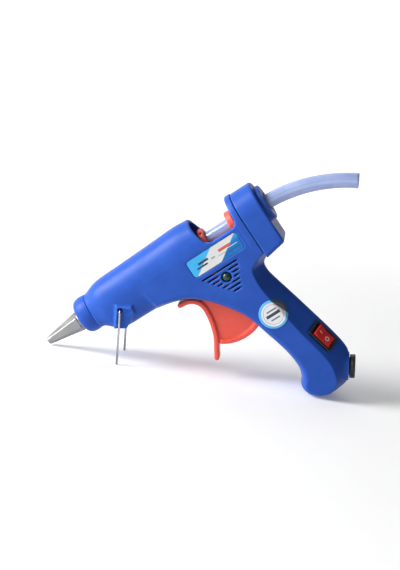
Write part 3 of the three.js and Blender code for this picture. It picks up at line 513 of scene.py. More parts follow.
shell.cut(cross_rod(PIVOT, -9.3, 9.3, 1.75), 0.1, *around(PIVOT, 5, (-13, 13)))
for i in range(VENT_COUNT):
    top, bottom = (VENT_TOP - i * VENT_PITCH + end * VENT_HEIGHT / 2 for end in (1, -1))
    left, right = 80 + 1.6 * i, 99.2 - 0.9 * i
    for sides in ((-14, -9), (9, 14)):
        shell.cut(box(*within((left, right), (bottom, top), sides), 0.2), 0.22,
                  *within((left - 1, right + 1), (bottom - 1.1, top + 1.1), sides))
near_lamp = around(INDICATOR, 6, (-14, -7))
shell.add(cross_rod(INDICATOR, -11.7, -9.6, 3.6, 0.3), 0.15, *near_lamp)
shell.cut(cross_rod(INDICATOR, -14, -9, LENS_HOLE), 0.3, *near_lamp)
shell.cut(prism(NOTCH, -20, 20), 0.8, *within((86, 109), (-3, 15)))
shell.cut(prism(TRIGGER_SLOT, -4.95, 4.95), 0.5, *within((60, 96), (-53, -12), (-7, 7)))
for low, high in ((-14, -12.1), (12.1, 14)):
    shell.cut(prism(RECESS_OUTLINE, low, high), 0.3, *within((28, 56), (-22, 0), (low - 1, high + 1)))
shell.cut(cross_rod(STAND_PIVOT, -14, 14, 0.85), 0.4, *within((38, 43), (-8, -1)))
groove_end = STAND_PIVOT + FOLDED_LEG * 4.6
for y in (-12.75, 12.75):
    shell.cut(rod((STAND_PIVOT[0], y, STAND_PIVOT[1]), (groove_end[0], y, groove_end[1]), 0.95), 0.5,
              *within((38, 47), (-12, -2), (y - 1.2, y + 1.2)))
shell.cut(rod((100, 0, 0), (130, 0, 0), STICK_BORE), 0.2, *within((99, 124), (-6, 6), (-6, 6)))
shell.cut(gland_rod(-9, 4, 4.5), 0.3, *within((100, 120), (-93, -75), (-7, 7)))
pocket = rounded_rectangle(
    LABEL["x"], LABEL["z"], LABEL["length"] + LABEL_SINK, LABEL["height"] + LABEL_SINK, LABEL["corner"] + 0.2)
shell.cut(prism(pocket, -14, -11.5), 0.15, *within((76, 107), (-13, -1), (-14, -11)))
near_switch = within((100, 120), (-76, -56), (-14, 6))
shell.cut(switch_box((-6.15, -4.25, -10), (6.15, 4.25, 3)), 0.1, *near_switch)
shell.cut(switch_box((-7, -5, -0.3), (7, 5, 3)), 0.3, *near_switch)
shell.cut(lambda x, y, z: x * UP[0] + z * UP[2] + ORIGIN[2] + 0 * y, 0.3, *within((86, 124), (-93.2, -70)))


# ---- meshes ----
# Its result drives the painted highlight along convex edges.
def edge_convexity(vertices, faces):
    """How sharply convex the surface is at each vertex, from 0 on flats to 1 on outer edges."""
    quads = np.asarray(faces)
    normals = np.zeros_like(vertices)
    a, b, c, d = (vertices[quads[:, corner]] for corner in range(4))
    across = np.cross(c - a, d - b)
    for corner in range(4):
        for k in range(3):
            normals[:, k] += np.bincount(quads[:, corner], across[:, k], len(vertices))
    normals /= np.maximum(np.linalg.norm(normals, axis=1), 1e-9)[:, None]
    smoother = vertices
    for _ in range(3):
        smoother = relaxed(smoother, quads, 0.7)
    return np.clip(((vertices - smoother) * normals).sum(1) / 0.09, 0, 1)


def new_object(name, data):
    item = bpy.data.objects.new(name, data)
    bpy.context.scene.collection.objects.link(item)
    return item


def mesh_object(name, vertices, faces, replaces, slot, body="housing", smooth=True, edge=None):
    """A piece from vertices in the design frame, riding on its body in place of one CAD node."""
    mesh = bpy.data.meshes.new(name)
    mesh.from_pydata(to_row(vertices).tolist(), [], faces.tolist() if hasattr(faces, "tolist") else faces)
    if edge is not None:
        mesh.attributes.new("edge", "FLOAT", "POINT").data.foreach_set("value", edge.astype(np.float32))
    mesh.shade_smooth() if smooth else mesh.shade_flat()
    mesh.materials.append(materials[slot])
    piece = new_object(name, mesh)
    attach(piece, body)
    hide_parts(replaces)
    return piece


def field_object(name, field, replaces, slot, body="housing", axes=np.eye(3), origin=(0, 0, 0)):
    vertices, quads = field.surface()
    edge = edge_convexity(vertices, quads)
    return mesh_object(name, origin + vertices @ axes, quads, replaces, slot, body, edge=edge)


def loft(rings, close_ends=True):
    """Rings of equally many points, joined one to the next."""
    rings = np.asarray(rings, float)
    rows, count, _ = rings.shape
    here = np.arange(rows - 1)[:, None] * count + np.arange(count)[None, :]
    beside = np.arange(rows - 1)[:, None] * count + (np.arange(count)[None, :] + 1) % count
    faces = np.stack([here, beside, beside + count, here + count], -1).reshape(-1, 4).tolist()
    if close_ends:
        faces.append(list(range(count))[::-1])
        faces.append([(rows - 1) * count + i for i in range(count)])
    return rings.reshape(-1, 3), faces


def revolve(profile, origin, axis, sides):
    """A closed profile of distance along the axis and radius, turned about the axis."""
    axis = np.array(axis, float) / np.linalg.norm(axis)
    helper = np.array([0, 1.0, 0]) if abs(axis[1]) < 0.9 else np.array([1.0, 0, 0])
    u = np.cross(axis, helper)
    u /= np.linalg.norm(u)
    v = np.cross(axis, u)
    angle = np.linspace(0, 2 * np.pi, sides, endpoint=False)
    around = np.cos(angle)[:, None] * u + np.sin(angle)[:, None] * v
    rings = [np.array(origin) + axis * a + around * r for a, r in profile]
    vertices, faces = loft(rings, close_ends=False)
    last = (len(profile) - 1) * sides
    faces += [[last + i, last + (i + 1) % sides, (i + 1) % sides, i] for i in range(sides)]
    return vertices, faces


def sweep(path, radius, sides):
    """A round bar along a path in space."""
    path = np.asarray(path, float)
    rings = []
    side = None
    for i, point in enumerate(path):
        along = path[min(i + 1, len(path) - 1)] - path[max(i - 1, 0)]
        along /= np.linalg.norm(along)
        if side is None:
            side = np.cross(along, [0, 0, 1.0] if abs(along[2]) < 0.9 else [1.0, 0, 0])
        side = side - along * (side @ along)
        side /= np.linalg.norm(side)
        up = np.cross(along, side)
        angle = np.linspace(0, 2 * np.pi, sides, endpoint=False)
        rings.append(point + radius * (np.cos(angle)[:, None] * side + np.sin(angle)[:, None] * up))
    return loft(rings)


def mark_uv(piece, u, v):
    """Lays the design frame's own flat coordinates on the mesh, for printed patterns."""
    layer = piece.data.uv_layers.new(name="print")
    index = np.empty(len(piece.data.loops), np.int32)
    piece.data.loops.foreach_get("vertex_index", index)
    layer.data.foreach_set("uv", np.stack([u[index], v[index]], 1).astype(np.float32).ravel())


# ---- materials ----
materials = {}


class Finish:
    """A material's node tree, written from the coordinates to the shader."""

    def __init__(self, name):
        materials[name] = bpy.data.materials.new(name)
        materials[name].use_nodes = True
        self.tree = materials[name].node_tree
        self.tree.nodes.clear()
        self.output = self.node("ShaderNodeOutputMaterial")
        self.shader = self.node("ShaderNodeBsdfPrincipled")
        self.link(self.shader.outputs[0], self.output.inputs["Surface"])
        self.place = self.node("ShaderNodeTexCoord").outputs["Object"]

    def node(self, kind, **settings):
        node = self.tree.nodes.new(kind)
        for name, value in settings.items():
            setattr(node, name, value)
        return node

    def link(self, source, target):
        self.tree.links.new(source, target)

    def put(self, value, target):
        if isinstance(value, bpy.types.NodeSocket):
            self.link(value, target)
        else:
            target.default_value = value

    def math(self, operation, a, b=0.0, c=0.0):
        node = self.node("ShaderNodeMath", operation=operation)
        for value, target in zip((a, b, c), node.inputs):
            self.put(value, target)
        return node.outputs[0]

    def length(self, a, b):
        squares = [self.math("MULTIPLY", number, number) for number in (a, b)]
        return self.math("SQRT", self.math("ADD", *squares))

    def noise(self, scale, detail=3.0, roughness=0.5, stretch=None):
        place = self.place
        if stretch:
            mapping = self.node("ShaderNodeMapping")
            mapping.inputs["Scale"].default_value = stretch
            self.link(place, mapping.inputs["Vector"])
            place = mapping.outputs[0]
        node = self.node("ShaderNodeTexNoise")
        self.link(place, node.inputs["Vector"])
        for name, value in (("Scale", scale), ("Detail", detail), ("Roughness", roughness)):
            node.inputs[name].default_value = value
        return node.outputs["Fac"]

    def ramp(self, value, low, high, to_low=0.0, to_high=1.0):
        node = self.node("ShaderNodeMapRange", interpolation_type="SMOOTHSTEP")
        self.put(value, node.inputs["Value"])
        for name, number in (("From Min", low), ("From Max", high), ("To Min", to_low), ("To Max", to_high)):
            node.inputs[name].default_value = number
        return node.outputs[0]

    def mix(self, share, a, b):
        node = self.node("ShaderNodeMix", data_type="RGBA")
        self.put(share, node.inputs["Factor"])
        for value, target in ((a, node.inputs[6]), (b, node.inputs[7])):
            self.put((*value, 1) if isinstance(value, tuple) and len(value) == 3 else value, target)
        return node.outputs[2]

    def roughness(self, value):
        self.link(value, self.shader.inputs["Roughness"])

    def colour(self, value):
        self.link(value, self.shader.inputs["Base Color"])

    def print_place(self):
        split = self.node("ShaderNodeSeparateXYZ")
        self.link(self.node("ShaderNodeUVMap", uv_map="print").outputs[0], split.inputs[0])
        return split.outputs[0], split.outputs[1]

    def bump(self, height, distance):
        node = self.node("ShaderNodeBump")
        node.inputs["Strength"].default_value = 1
        node.inputs["Distance"].default_value = distance
        self.link(height, node.inputs["Height"])
        self.link(node.outputs[0], self.shader.inputs["Normal"])

    def constants(self, **numbers):
        for name, value in numbers.items():
            self.shader.inputs[name.replace("_", " ")].default_value = value


def surface(name, colour, darker, roughness, grain=0.05, bump=0.00002, fineness=2600, edge_highlight_colour=None,
            stretch=None, **constants):
    """Two near tones that drift into each other, uneven gloss, a fine grain and a painted highlight: paler, patchy
    colour along convex edges.
    """
    finish = Finish(name)
    drift = finish.ramp(finish.noise(75, 4, 0.6), 0.35, 0.68)
    base = finish.mix(drift, darker, colour)
    fine = finish.noise(fineness, 4, 0.6, stretch)
    speck = finish.ramp(fine, 0.3, 0.75, 0, 0.16)
    base = finish.mix(speck, base, tuple(min(c * 1.5 + 0.01, 1) for c in colour))
    # Convex edges take a paler colour in patches: a painted highlight along the edges.
    if edge_highlight_colour:
        edge = finish.node("ShaderNodeAttribute", attribute_name="edge").outputs["Fac"]
        edge_highlight_share = finish.ramp(edge, 0.15, 0.95)
        patchy = finish.math("MULTIPLY", edge_highlight_share, finish.ramp(finish.noise(500, 3), 0.25, 0.6, 0.35, 1))
        base = finish.mix(finish.math("MULTIPLY", patchy, 0.75), base, edge_highlight_colour)
    finish.colour(base)
    smudge = finish.ramp(finish.noise(160, 5, 0.65), 0.3, 0.7, roughness - grain, roughness + grain)
    finish.roughness(finish.math("ADD", smudge, finish.ramp(fine, 0.2, 0.8, -grain * 0.4, grain * 0.4)))
    finish.bump(fine, bump)
    finish.constants(**constants)


# Each finish lists its colour, the darker tone it drifts to, its roughness and, for plastic, the colour of its
# painted edge highlight.
PLASTICS = {
    "blue_plastic": ((0.021, 0.088, 0.44), (0.017, 0.074, 0.385), 0.38, (0.04, 0.14, 0.58), 0.16),
    "orange_plastic": ((0.88, 0.092, 0.055), (0.80, 0.075, 0.045), 0.4, (0.97, 0.24, 0.17), 0.5),
    "black_plastic": ((0.016, 0.015, 0.019), (0.011, 0.011, 0.014), 0.42, (0.08, 0.08, 0.09), 0.5),
}
METALS = {
    "screw_steel": ((0.56, 0.56, 0.58), (0.44, 0.44, 0.46), 0.32),
    "nozzle_aluminium": ((0.36, 0.36, 0.365), (0.28, 0.28, 0.285), 0.38),
    "cast_aluminium": ((0.50, 0.50, 0.51), (0.40, 0.40, 0.41), 0.5),
    "brass": ((0.62, 0.42, 0.16), (0.50, 0.33, 0.12), 0.34),
    "spring_steel": ((0.48, 0.48, 0.50), (0.36, 0.36, 0.38), 0.3),
    "pin_steel": ((0.55, 0.55, 0.57), (0.45, 0.45, 0.47), 0.25),
    "wire_steel": ((0.50, 0.51, 0.55), (0.36, 0.37, 0.40), 0.26),
}
DULL = {
    "bush_plastic": ((0.66, 0.62, 0.54), (0.58, 0.54, 0.46), 0.6),
    "support_card": ((0.72, 0.66, 0.52), (0.62, 0.56, 0.43), 0.8),
    "sleeve_rubber": ((0.55, 0.56, 0.58), (0.46, 0.47, 0.49), 0.65),
    "heater_ceramic": ((0.15, 0.14, 0.13), (0.10, 0.095, 0.09), 0.7),
    "tray_ceramic": ((0.76, 0.74, 0.68), (0.66, 0.64, 0.58), 0.6),
    # The board's green is made darker than its own, as painted shade for the housing's inside seen through the
    # vents.
    "board_green": ((0.02, 0.07, 0.035), (0.015, 0.05, 0.025), 0.5),
    "resistor_body": ((0.50, 0.38, 0.22), (0.42, 0.31, 0.17), 0.45),
    # The red lead's colour is made darker than its own, as painted shade for the housing's inside seen through the
    # vents.
    "lead_red": ((0.20, 0.016, 0.014), (0.15, 0.012, 0.011), 0.45),
    "lead_blue": ((0.035, 0.07, 0.36), (0.028, 0.055, 0.29), 0.45),
}
for name, (*tones, edge_highlight_colour, gloss) in PLASTICS.items():
    surface(name, *tones, edge_highlight_colour=edge_highlight_colour, Specular_IOR_Level=gloss)
# Metals get the same painted highlight along their convex edges, in pale grey.
for name, tones in METALS.items():
    surface(name, *tones, grain=0.08, bump=0.000012, fineness=1500, stretch=(1, 1, 6),
            edge_highlight_colour=(0.75, 0.75, 0.76), Metallic=1.0)
for name, tones in DULL.items():
    surface(name, *tones, grain=0.08, bump=0.00003, fineness=1800)

glue = Finish("glue")
around, _ = glue.print_place()
streaks = glue.node("ShaderNodeTexNoise", noise_dimensions="1D")
glue.link(around, streaks.inputs["W"])
streaks.inputs["Scale"].default_value = 14
cloud = glue.math("MULTIPLY_ADD", glue.noise(90, 3), 0.5, glue.math("MULTIPLY", streaks.outputs["Fac"], 0.5))
glue.colour(glue.mix(glue.ramp(cloud, 0.38, 0.62), (0.34, 0.43, 0.76), (0.46, 0.56, 0.85)))
glue.roughness(glue.ramp(streaks.outputs["Fac"], 0.3, 0.7, 0.14, 0.26))
glue.bump(streaks.outputs["Fac"], 0.00006)
glue.constants(Transmission_Weight=0.35, IOR=1.46, Coat_Weight=0.4, Coat_Roughness=0.08)

lens = Finish("lens_green")
lens.colour(lens.mix(lens.ramp(lens.noise(900, 2), 0.3, 0.7), (0.008, 0.034, 0.032), (0.014, 0.056, 0.048)))
lens.roughness(lens.ramp(lens.noise(800, 3), 0.3, 0.7, 0.08, 0.16))
lens.bump(lens.noise(1500, 2), 0.00001)
lens.constants(Specular_IOR_Level=0.3, Coat_Weight=0.35, Coat_Roughness=0.05)


def printed(name, roughness):
    finish = Finish(name)
    finish.roughness(finish.ramp(finish.noise(300, 4), 0.3, 0.7, roughness - 0.06, roughness + 0.06))
    finish.bump(finish.noise(1800, 3), 0.000012)
    finish.constants(Specular_IOR_Level=0.25)
    return finish


def band(finish, place, low, high, soft=0.04):
    """1 between low and high along a print coordinate, 0 outside."""
    rise = finish.ramp(place, low - soft, low + soft)
    fall = finish.ramp(place, high - soft, high + soft, 1, 0)
    return finish.math("MULTIPLY", rise, fall)


def barred(finish, base, u, v, bars, share=1.0):
    """Plain bars over a print, each given as its ink and its ranges of u and v."""
    for ink, low_u, high_u, low_v, high_v in bars:
        here = finish.math("MULTIPLY", band(finish, u, low_u, high_u), band(finish, v, low_v, high_v))
        base = finish.mix(finish.math("MULTIPLY", share, here), base, ink)
    return base


# A print's coordinates are millimetres from its middle, u rearwards and v up.
DARK_INK, GREY_INK, RED_INK = (0.03, 0.035, 0.05), (0.20, 0.22, 0.25), (0.58, 0.10, 0.08)
LABEL_BARS = [
    (DARK_INK, -9.0, -3.6, 0.0, 1.0),
    (DARK_INK, -10.4, -4.8, -1.6, -0.8),
    (GREY_INK, -2.4, -0.4, -0.7, -0.1),
    (RED_INK, 2.3, 8.6, 0.2, 1.5),
    (GREY_INK, 0.9, 5.6, -1.3, -1.05),
]
BLUE_END_BARS = [
    ((0.45, 0.70, 0.86), 4.0, 11.8, -0.35, -0.05),
    ((0.004, 0.06, 0.2), 4.0, 11.8, -2.0, -1.7),
]
STICKER_GREY, STICKER_DARK = (0.16, 0.17, 0.19), (0.05, 0.055, 0.065)
STICKER_BARS = [
    (STICKER_GREY, -2.4, 2.6, 1.7, 2.4),
    (STICKER_DARK, -3.6, 3.4, -0.6, 0.8),
    (STICKER_GREY, -2.4, 2.2, -2.5, -1.8),
]
MARK_WHITE = (0.85, 0.82, 0.80)
ROCKER_BARS = [(MARK_WHITE, -3.1, -1.3, -0.19, 0.19)]

label = printed("label_film", 0.3)
u, v = label.print_place()
slanted = label.math("MULTIPLY_ADD", v, -1.45, u)
paper = label.mix(label.ramp(label.noise(120, 3), 0.3, 0.7), (0.62, 0.635, 0.62), (0.68, 0.69, 0.67))
base = label.mix(label.ramp(slanted, -6.05, -5.95), (0.045, 0.40, 0.76), paper)
deep_blue = label.mix(label.ramp(v, 0.6, 3.2), (0.008, 0.15, 0.45), (0.030, 0.31, 0.66))
behind = label.ramp(slanted, 6.85, 6.95)
base = label.mix(behind, base, deep_blue)
base = barred(label, base, u, v, BLUE_END_BARS, behind)
label.colour(barred(label, base, u, v, LABEL_BARS))

sticker = printed("sticker_film", 0.34)
u, v = sticker.print_place()
radius = sticker.length(u, v)
base = sticker.mix(sticker.ramp(sticker.noise(140, 3), 0.3, 0.7), (0.66, 0.70, 0.74), (0.74, 0.77, 0.80))
base = barred(sticker, base, u, v, STICKER_BARS)
base = sticker.mix(band(sticker, radius, 4.5, 4.75), base, (0.62, 0.30, 0.34))
base = sticker.mix(sticker.ramp(radius, 5.6, 5.7), base, (0.10, 0.44, 0.78))
# The upper right of the sticker, where it bends over onto the bevel, is painted dark: painted shade.
shaded_cap = sticker.math("MULTIPLY_ADD", v, 0.37, u)
sticker.colour(sticker.mix(sticker.ramp(shaded_cap, 4.4, 4.7, 0, 0.86), base, (0.04, 0.045, 0.06)))

rocker_red = printed("red_plastic", 0.32)
u, v = rocker_red.print_place()
drift = rocker_red.ramp(rocker_red.noise(200, 3), 0.3, 0.7)
tone = rocker_red.mix(drift, (0.66, 0.026, 0.026), (0.76, 0.034, 0.032))
ring = rocker_red.length(rocker_red.math("SUBTRACT", u, 2.15), v)
base = rocker_red.mix(band(rocker_red, ring, 0.74, 1.12), tone, MARK_WHITE)
rocker_red.colour(barred(rocker_red, base, u, v, ROCKER_BARS))

slots = {part["node"]: part["material_slot"] for part in frame["record"]["subparts"]}
for node, piece in frame["nodes"].items():
    piece.data.materials.clear()
    piece.data.materials.append(materials[slots[node]])

# ---- shells ----
for name, node, side in (("left_shell", "left_housing", -1), ("right_shell", "right_housing", 1)):
    low, high = sorted((-side, 14 * side))
    half = shell.crop((19, low, -94), (125, high, 15))
    half.cut(lambda x, y, z: side * y - PARTING + 0 * x + 0 * z, 0.35)
    field_object(name, half, node, "blue_plastic")

# ---- nose ring and collar ----
nose = Field((18.8, -9.4, -8.6), (27.3, 9.4, 10.2), 0.2)
nose.add(turned([
    (19.7, 3.9), (19.7, 6.3), (20.0, 7.2), (20.7, 8), (21.8, 8.6), (23.1, 8.85), (25, 8.85), (26.84, 8.62),
    (26.84, 7.4), (20.6, 7.4), (20.6, 3.9)], NOSE_RISE))
nose.cut(rod((18, 0, 0), (22, 0, 0), 5.25), 0.5)
field_object("nose_clamp_ring", nose, "nose_ring", "blue_plastic")

COLLAR_FRONT, COLLAR_REAR = 110.85, 121.5
COLLAR_SLOPE = 0.19  # its underside rises rearwards by this much a millimetre
SECTION_LEAD = 9  # the section starts this far ahead of the collar
collar = Field((110, -13, -21.6), (124.4, 13, 13.2), 0.3)
cut, gx, gy, gz = collar.part()
bottom = -20.6 - SECTION_LEAD * COLLAR_SLOPE
section = arch(COLLAR_FRONT - SECTION_LEAD, 140, 12.1, 11.8, bottom, 0.1, 2, COLLAR_SLOPE)(gx, gy, gz)
rear_rounded = soft_box([section, gx - COLLAR_REAR], 1.1)
collar.value = soft_box([rear_rounded, COLLAR_FRONT - gx], 0.2)
collar.add(rod((112, 0, 0.2), (123.7, 0, 0.2), 8.7, 0.55), 0.35)
collar.cut(arch(100, 119.2, 10, 9.9, -16.2, 0.1), 0.1)
collar.cut(rod((100, 0, 0), (130, 0, 0), STICK_BORE), 0.5)
field_object("collar_with_boss", collar, "rear_collar", "blue_plastic")

# ---- label and sticker ----
label_rings = []
for y, inset in ((-11.6, 0.0), (-11.8, 0.0), (-11.86, 0.06)):
    size = LABEL["length"] - 2 * inset, LABEL["height"] - 2 * inset, LABEL["corner"] - inset
    ring = rounded_rectangle(LABEL["x"], LABEL["z"], *size)
    label_rings.append(np.stack([ring[:, 0], np.full(len(ring), y), ring[:, 1]], 1))
vertices, faces = loft(label_rings)
piece = mesh_object("label_panel", vertices, faces, "front_label", "label_film", smooth=False)
mark_uv(piece, vertices[:, 0] - LABEL["x"], vertices[:, 2] - LABEL["z"])

# The sticker lies on the shell, found by stepping inwards from y = -13 at each of its points.
DISC_SIDES, PROBES, PROBE_STEP = 96, 90, 0.1
RING_SHARES = [0.02, 0.2, 0.4, 0.6, 0.75, 0.88, 0.96, 1.0, 1.0, 0.96, 0.5, 0.02]
RING_HEIGHTS = [0.26] * 7 + [0.2] + [0.06] * 4
angle = np.linspace(0, 2 * np.pi, DISC_SIDES, endpoint=False)
each = np.arange(DISC_SIDES)
depths = -13 + PROBE_STEP * np.arange(PROBES)
sticker_rings = []
for share, height in zip(RING_SHARES, RING_HEIGHTS):
    x = STICKER["x"] + STICKER["radius"] * share * np.cos(angle)
    z = STICKER["z"] + STICKER["radius"] * share * np.sin(angle)
    probes = np.stack([np.repeat(x, PROBES), np.tile(depths, DISC_SIDES), np.repeat(z, PROBES)], 1)
    level = outer.sample(probes).reshape(DISC_SIDES, PROBES)
    first = (level < 0).argmax(1)
    before, after = level[each, first - 1], level[each, first]
    y = depths[first - 1] + PROBE_STEP * before / (before - after)
    sticker_rings.append(np.stack([x, y - height, z], 1))
vertices, faces = loft(sticker_rings)
piece = mesh_object("sticker_disc", vertices, faces, "round_sticker", "sticker_film")
mark_uv(piece, vertices[:, 0] - STICKER["x"], vertices[:, 2] - STICKER["z"])

# ---- nozzle ----
CONE_FRONT, CONE_REAR = 2.4, 18.4
nozzle = Field((-0.4, -5.2, -5.2), (31.9, 5.2, 5.2), 0.2)
cut, gx, gy, gz = nozzle.part()
apothem = (2.3 + (gx - CONE_FRONT) * (2.65 / 16)) * math.cos(math.pi / 6)
turns = np.radians(np.arange(30, 360, 60))
planes = [(gy * math.sin(turn) + gz * math.cos(turn) - apothem) * 0.99 for turn in turns]
nozzle.value = soft_box([*planes, CONE_FRONT - gx, gx - CONE_REAR], 0.22) + np.zeros_like(nozzle.value)
nozzle.add(turned([(0, 0), (0, 1.4), (0.2, 1.75), (0.6, 1.92), (2.8, 2.1), (2.8, 0)]), 0.3)
nozzle.add(turned([(18, 0), (18, 4.2), (20.4, 4.2), (20.4, 2.7), (31.5, 2.7), (31.5, 0)]), 0.2)
nozzle.cut(rod((-1, 0, 0), (8, 0, 0), 0.75), 0.3)
nozzle.cut(rod((7, 0, 0), (33, 0, 0), 1.5), 0.1)
field_object("nozzle_body", nozzle, "nozzle", "nozzle_aluminium")

# ---- trigger ----
LEVER_LINE = [
    [63.2, -18.7], [67.3, -19.3], [70.6, -21.5], [72.2, -25], [72.1, -29.5], [71, -35], [69, -40.5],
    [66, -45.4], [63.9, -48.9],
]
RIM_CENTRE, RIM_RADIUS, RIM_THICKNESS = (80.9, -27.5), 20.3, 2.2
RIM_START, RIM_END = 234.5, 305  # degrees
trigger = Field((61.4, -4.9, -50.6), (91.5, 4.9, -4.8), 0.25)
cut, gx, gy, gz = trigger.part()
flat_x, flat_z = gx[:, 0, :], gz[0, 0, :][None, :]
lever = polygon_distance(spline(LEVER_LINE, 6), flat_x, flat_z, closed=False)
trigger.value = soft_box([lever[:, None, :] - 1.15, np.abs(gy) - 4.5], 0.85)
rim = arc(RIM_CENTRE, RIM_RADIUS, RIM_START, RIM_END, 28)
rim_inside = arc(RIM_CENTRE, RIM_RADIUS - RIM_THICKNESS, RIM_END, RIM_START, 28)
trigger.add(prism(np.vstack([rim, rim_inside]), -4.5, 4.5, 0.7), 0.5)
web = np.vstack([[[80.5, -21], [72.2, -22.6], [72.3, -28], [71.2, -35], [69.3, -40.5]], rim, [[87.4, -26.5]]])
trigger.add(prism(web, -3.2, 3.2, 0.2), 0.9)
trigger.add(cross_rod(PIVOT, -4.5, 4.5, 4, 0.4), 0.6)
arm_side = 2.1 * np.array([math.cos(DRIVE_ARM_LEAN), -math.sin(DRIVE_ARM_LEAN)])
arm = [PIVOT - arm_side, PIVOT + arm_side, DRIVE_PIN + arm_side, DRIVE_PIN - arm_side]
trigger.add(prism(arm, -1.7, 1.7, 0.3), 0.3)
trigger.add(cross_rod(DRIVE_PIN, -1.7, 1.7, 2.3, 0.3), 0.2)
trigger.cut(cross_rod(PIVOT, -6, 6, 1.8), 0.3)
trigger.cut(cross_rod(DRIVE_PIN, -3, 3, 1.3), 0.2)
field_object("trigger_lever", trigger, "trigger", "orange_plastic", body="trigger")

# ---- carriage and glue stick ----
carriage = Field((83.2, -6.8, -10.8), (107.1, 6.8, 6.9), 0.25)
for start, end, radius in ((88.5, 91.1, 6.3), (103.4, 106.6, 6.4)):
    carriage.add(rod((start, 0, 0), (end, 0, 0), radius, 0.5), 0)
for side in (-1, 1):
    low, high = sorted((4.3 * side, 6 * side))
    carriage.add(box((90, low, -5), (105, high, -2.2), 0.3), 0.3)
    low, high = sorted((2.1 * side, 4 * side))
    carriage.add(box((83.6, low, -10.4), (90.3, high, -4.8), 0.3), 0.3)
carriage.cut(box((88, -2.1, -12), (93, 2.1, -4.3)), 0.2)
carriage.cut(rod((80, 0, 0), (110, 0, 0), 4), 0.4)
carriage.cut(rod((90, -1.9, 2.2), (90, -5.3, 6), 0.6), 0.3)
dx, dz = DRIVE_PIN
carriage.cut(box((dx - 1.3, -5, dz - 1.7), (dx + 1.3, 5, dz + 1.5)), 0.2)
field_object("carriage_body", carriage, "carriage", "orange_plastic", body="carriage")

BEND_START, BEND_RADIUS, BEND_TURN = 121, 70, 0.655
STICK_SIDES = 48
bend = np.linspace(0, BEND_TURN, 41)
stick_path = np.vstack([
    [[x, 0, 0] for x in np.linspace(67, BEND_START - 0.5, 30)],
    np.stack([BEND_START + BEND_RADIUS * np.sin(bend), 0 * bend, -BEND_RADIUS * (1 - np.cos(bend))], 1),
])
vertices, faces = sweep(stick_path, STICK_RADIUS, STICK_SIDES)
piece = mesh_object("glue_stick_rod", vertices, faces, "glue_stick", "glue", body="glue_stick")
half_turns = np.abs(np.arange(len(vertices)) % STICK_SIDES * 2 / STICK_SIDES - 1)
mark_uv(piece, half_turns, 0 * half_turns)

# ---- stand ----
BEND = 1.3
leg_end = (-ORIGIN[2] - STAND_PIVOT @ UP[[0, 2]]) / (LEG @ UP[[0, 2]]) + 1
stand_path = []
for side in (-1, 1):
    quarter = np.linspace(0, np.pi / 2, 13)
    along = BEND * (1 - np.sin(quarter))
    across = side * (STAND_HALF_SPACING - BEND * (1 - np.cos(quarter)))
    half_path = [(leg_end, side * STAND_HALF_SPACING), *zip(along, across)]
    stand_path += half_path if side < 0 else half_path[::-1]
stand_path = [[*(STAND_PIVOT + LEG * a), c] for a, c in stand_path]
stand_path = np.array(stand_path)[:, [0, 2, 1]]
vertices, faces = sweep(stand_path, WIRE_RADIUS, 20)
depth = vertices @ UP + ORIGIN[2]
vertices = vertices - np.minimum(depth, 0)[:, None] * UP
mesh_object("stand_bar", vertices, faces, "stand_wire", "wire_steel", body="stand")

# ---- lamp ----
LENS_RADIUS, LENS_FLANGE = 2.25, 2.65
dome = [(10.2 + 2.3 * math.sin(t), LENS_RADIUS * math.cos(t)) for t in np.linspace(0, 1.55, 16)]
lens_profile = [(8.8, 0.02), (8.8, LENS_FLANGE), (9.3, LENS_FLANGE), (9.35, LENS_RADIUS), *dome]
vertices, faces = revolve(lens_profile, (INDICATOR[0], 0, INDICATOR[1]), (0, -1, 0), 48)
mesh_object("lamp_lens", vertices, faces, "indicator_lens", "lens_green")

# ---- rocker switch ----
bezel = Field((-7, -5.1, -9.3), (7, 5.1, 1.2), 0.16)
bezel.add(box((-6.6, -4.7, 0), (6.6, 4.7, 0.9), 0.4))
bezel.add(box((-5.9, -4, -9), (5.9, 4, 0.5), 0.2), 0.2)
bezel.cut(box((-5.3, -3.55, -5), (5.3, 3.55, 2)), 0.4)
field_object("switch_frame", bezel, "switch_body", "black_plastic", axes=SWITCH_AXES, origin=SWITCH_ORIGIN)

ROCKER_TILT = math.radians(6.5)
PIVOT_DEPTH = 1.6
face_line = spline([[4.6, 1.5], [2.2, 1.05], [0, 0.9], [-2.2, 1.05], [-4.6, 1.5]], 6)
rocker_outline = np.vstack([
    [[-4.65, -0.6], [-1.6, -3.6], [1.6, -3.6], [4.65, -0.6]], face_line]) + [0, PIVOT_DEPTH]
tilt_cos, tilt_sin = math.cos(ROCKER_TILT), math.sin(ROCKER_TILT)
rocker_outline = rocker_outline @ [[tilt_cos, -tilt_sin], [tilt_sin, tilt_cos]] - [0, PIVOT_DEPTH]
rocker = Field((-5.2, -3.6, -4), (5.2, 3.6, 2.6), 0.14)
rocker.add(prism(rocker_outline, -3.3, 3.3, 0.3))
vertices, quads = rocker.surface()
placed = SWITCH_ORIGIN + vertices @ SWITCH_AXES
piece = mesh_object("rocker_cap", placed, quads, "switch_rocker", "red_plastic", body="rocker")
OFF_PRINT = 9  # the marks stay off the rocker's underside
mark_uv(piece, vertices[:, 0], np.where(vertices[:, 2] > 0, vertices[:, 1], OFF_PRINT))

# ---- cord outlet ----
gland_profile = [
    (-4.4, 2.6), (-4.4, 4.7), (-4.2, 4.9), (-2.6, 4.9), (-2.4, 4.7), (-2.4, 4.2), (0.62, 4.2), (0.62, 5.5),
    (0.72, 5.6), (1.0, 5.6), (1.1, 5.48), (1.25, 5.48), (1.35, 5.6), (2.9, 5.6), (3.05, 5.52), (3.1, 5.4),
    (3.1, 3.0), (2.9, 2.6),
]
vertices, faces = revolve(gland_profile, GLAND_SEAT, GLAND_AXIS, 64)
mesh_object("cord_outlet", vertices, faces, "cord_gland", "black_plastic")

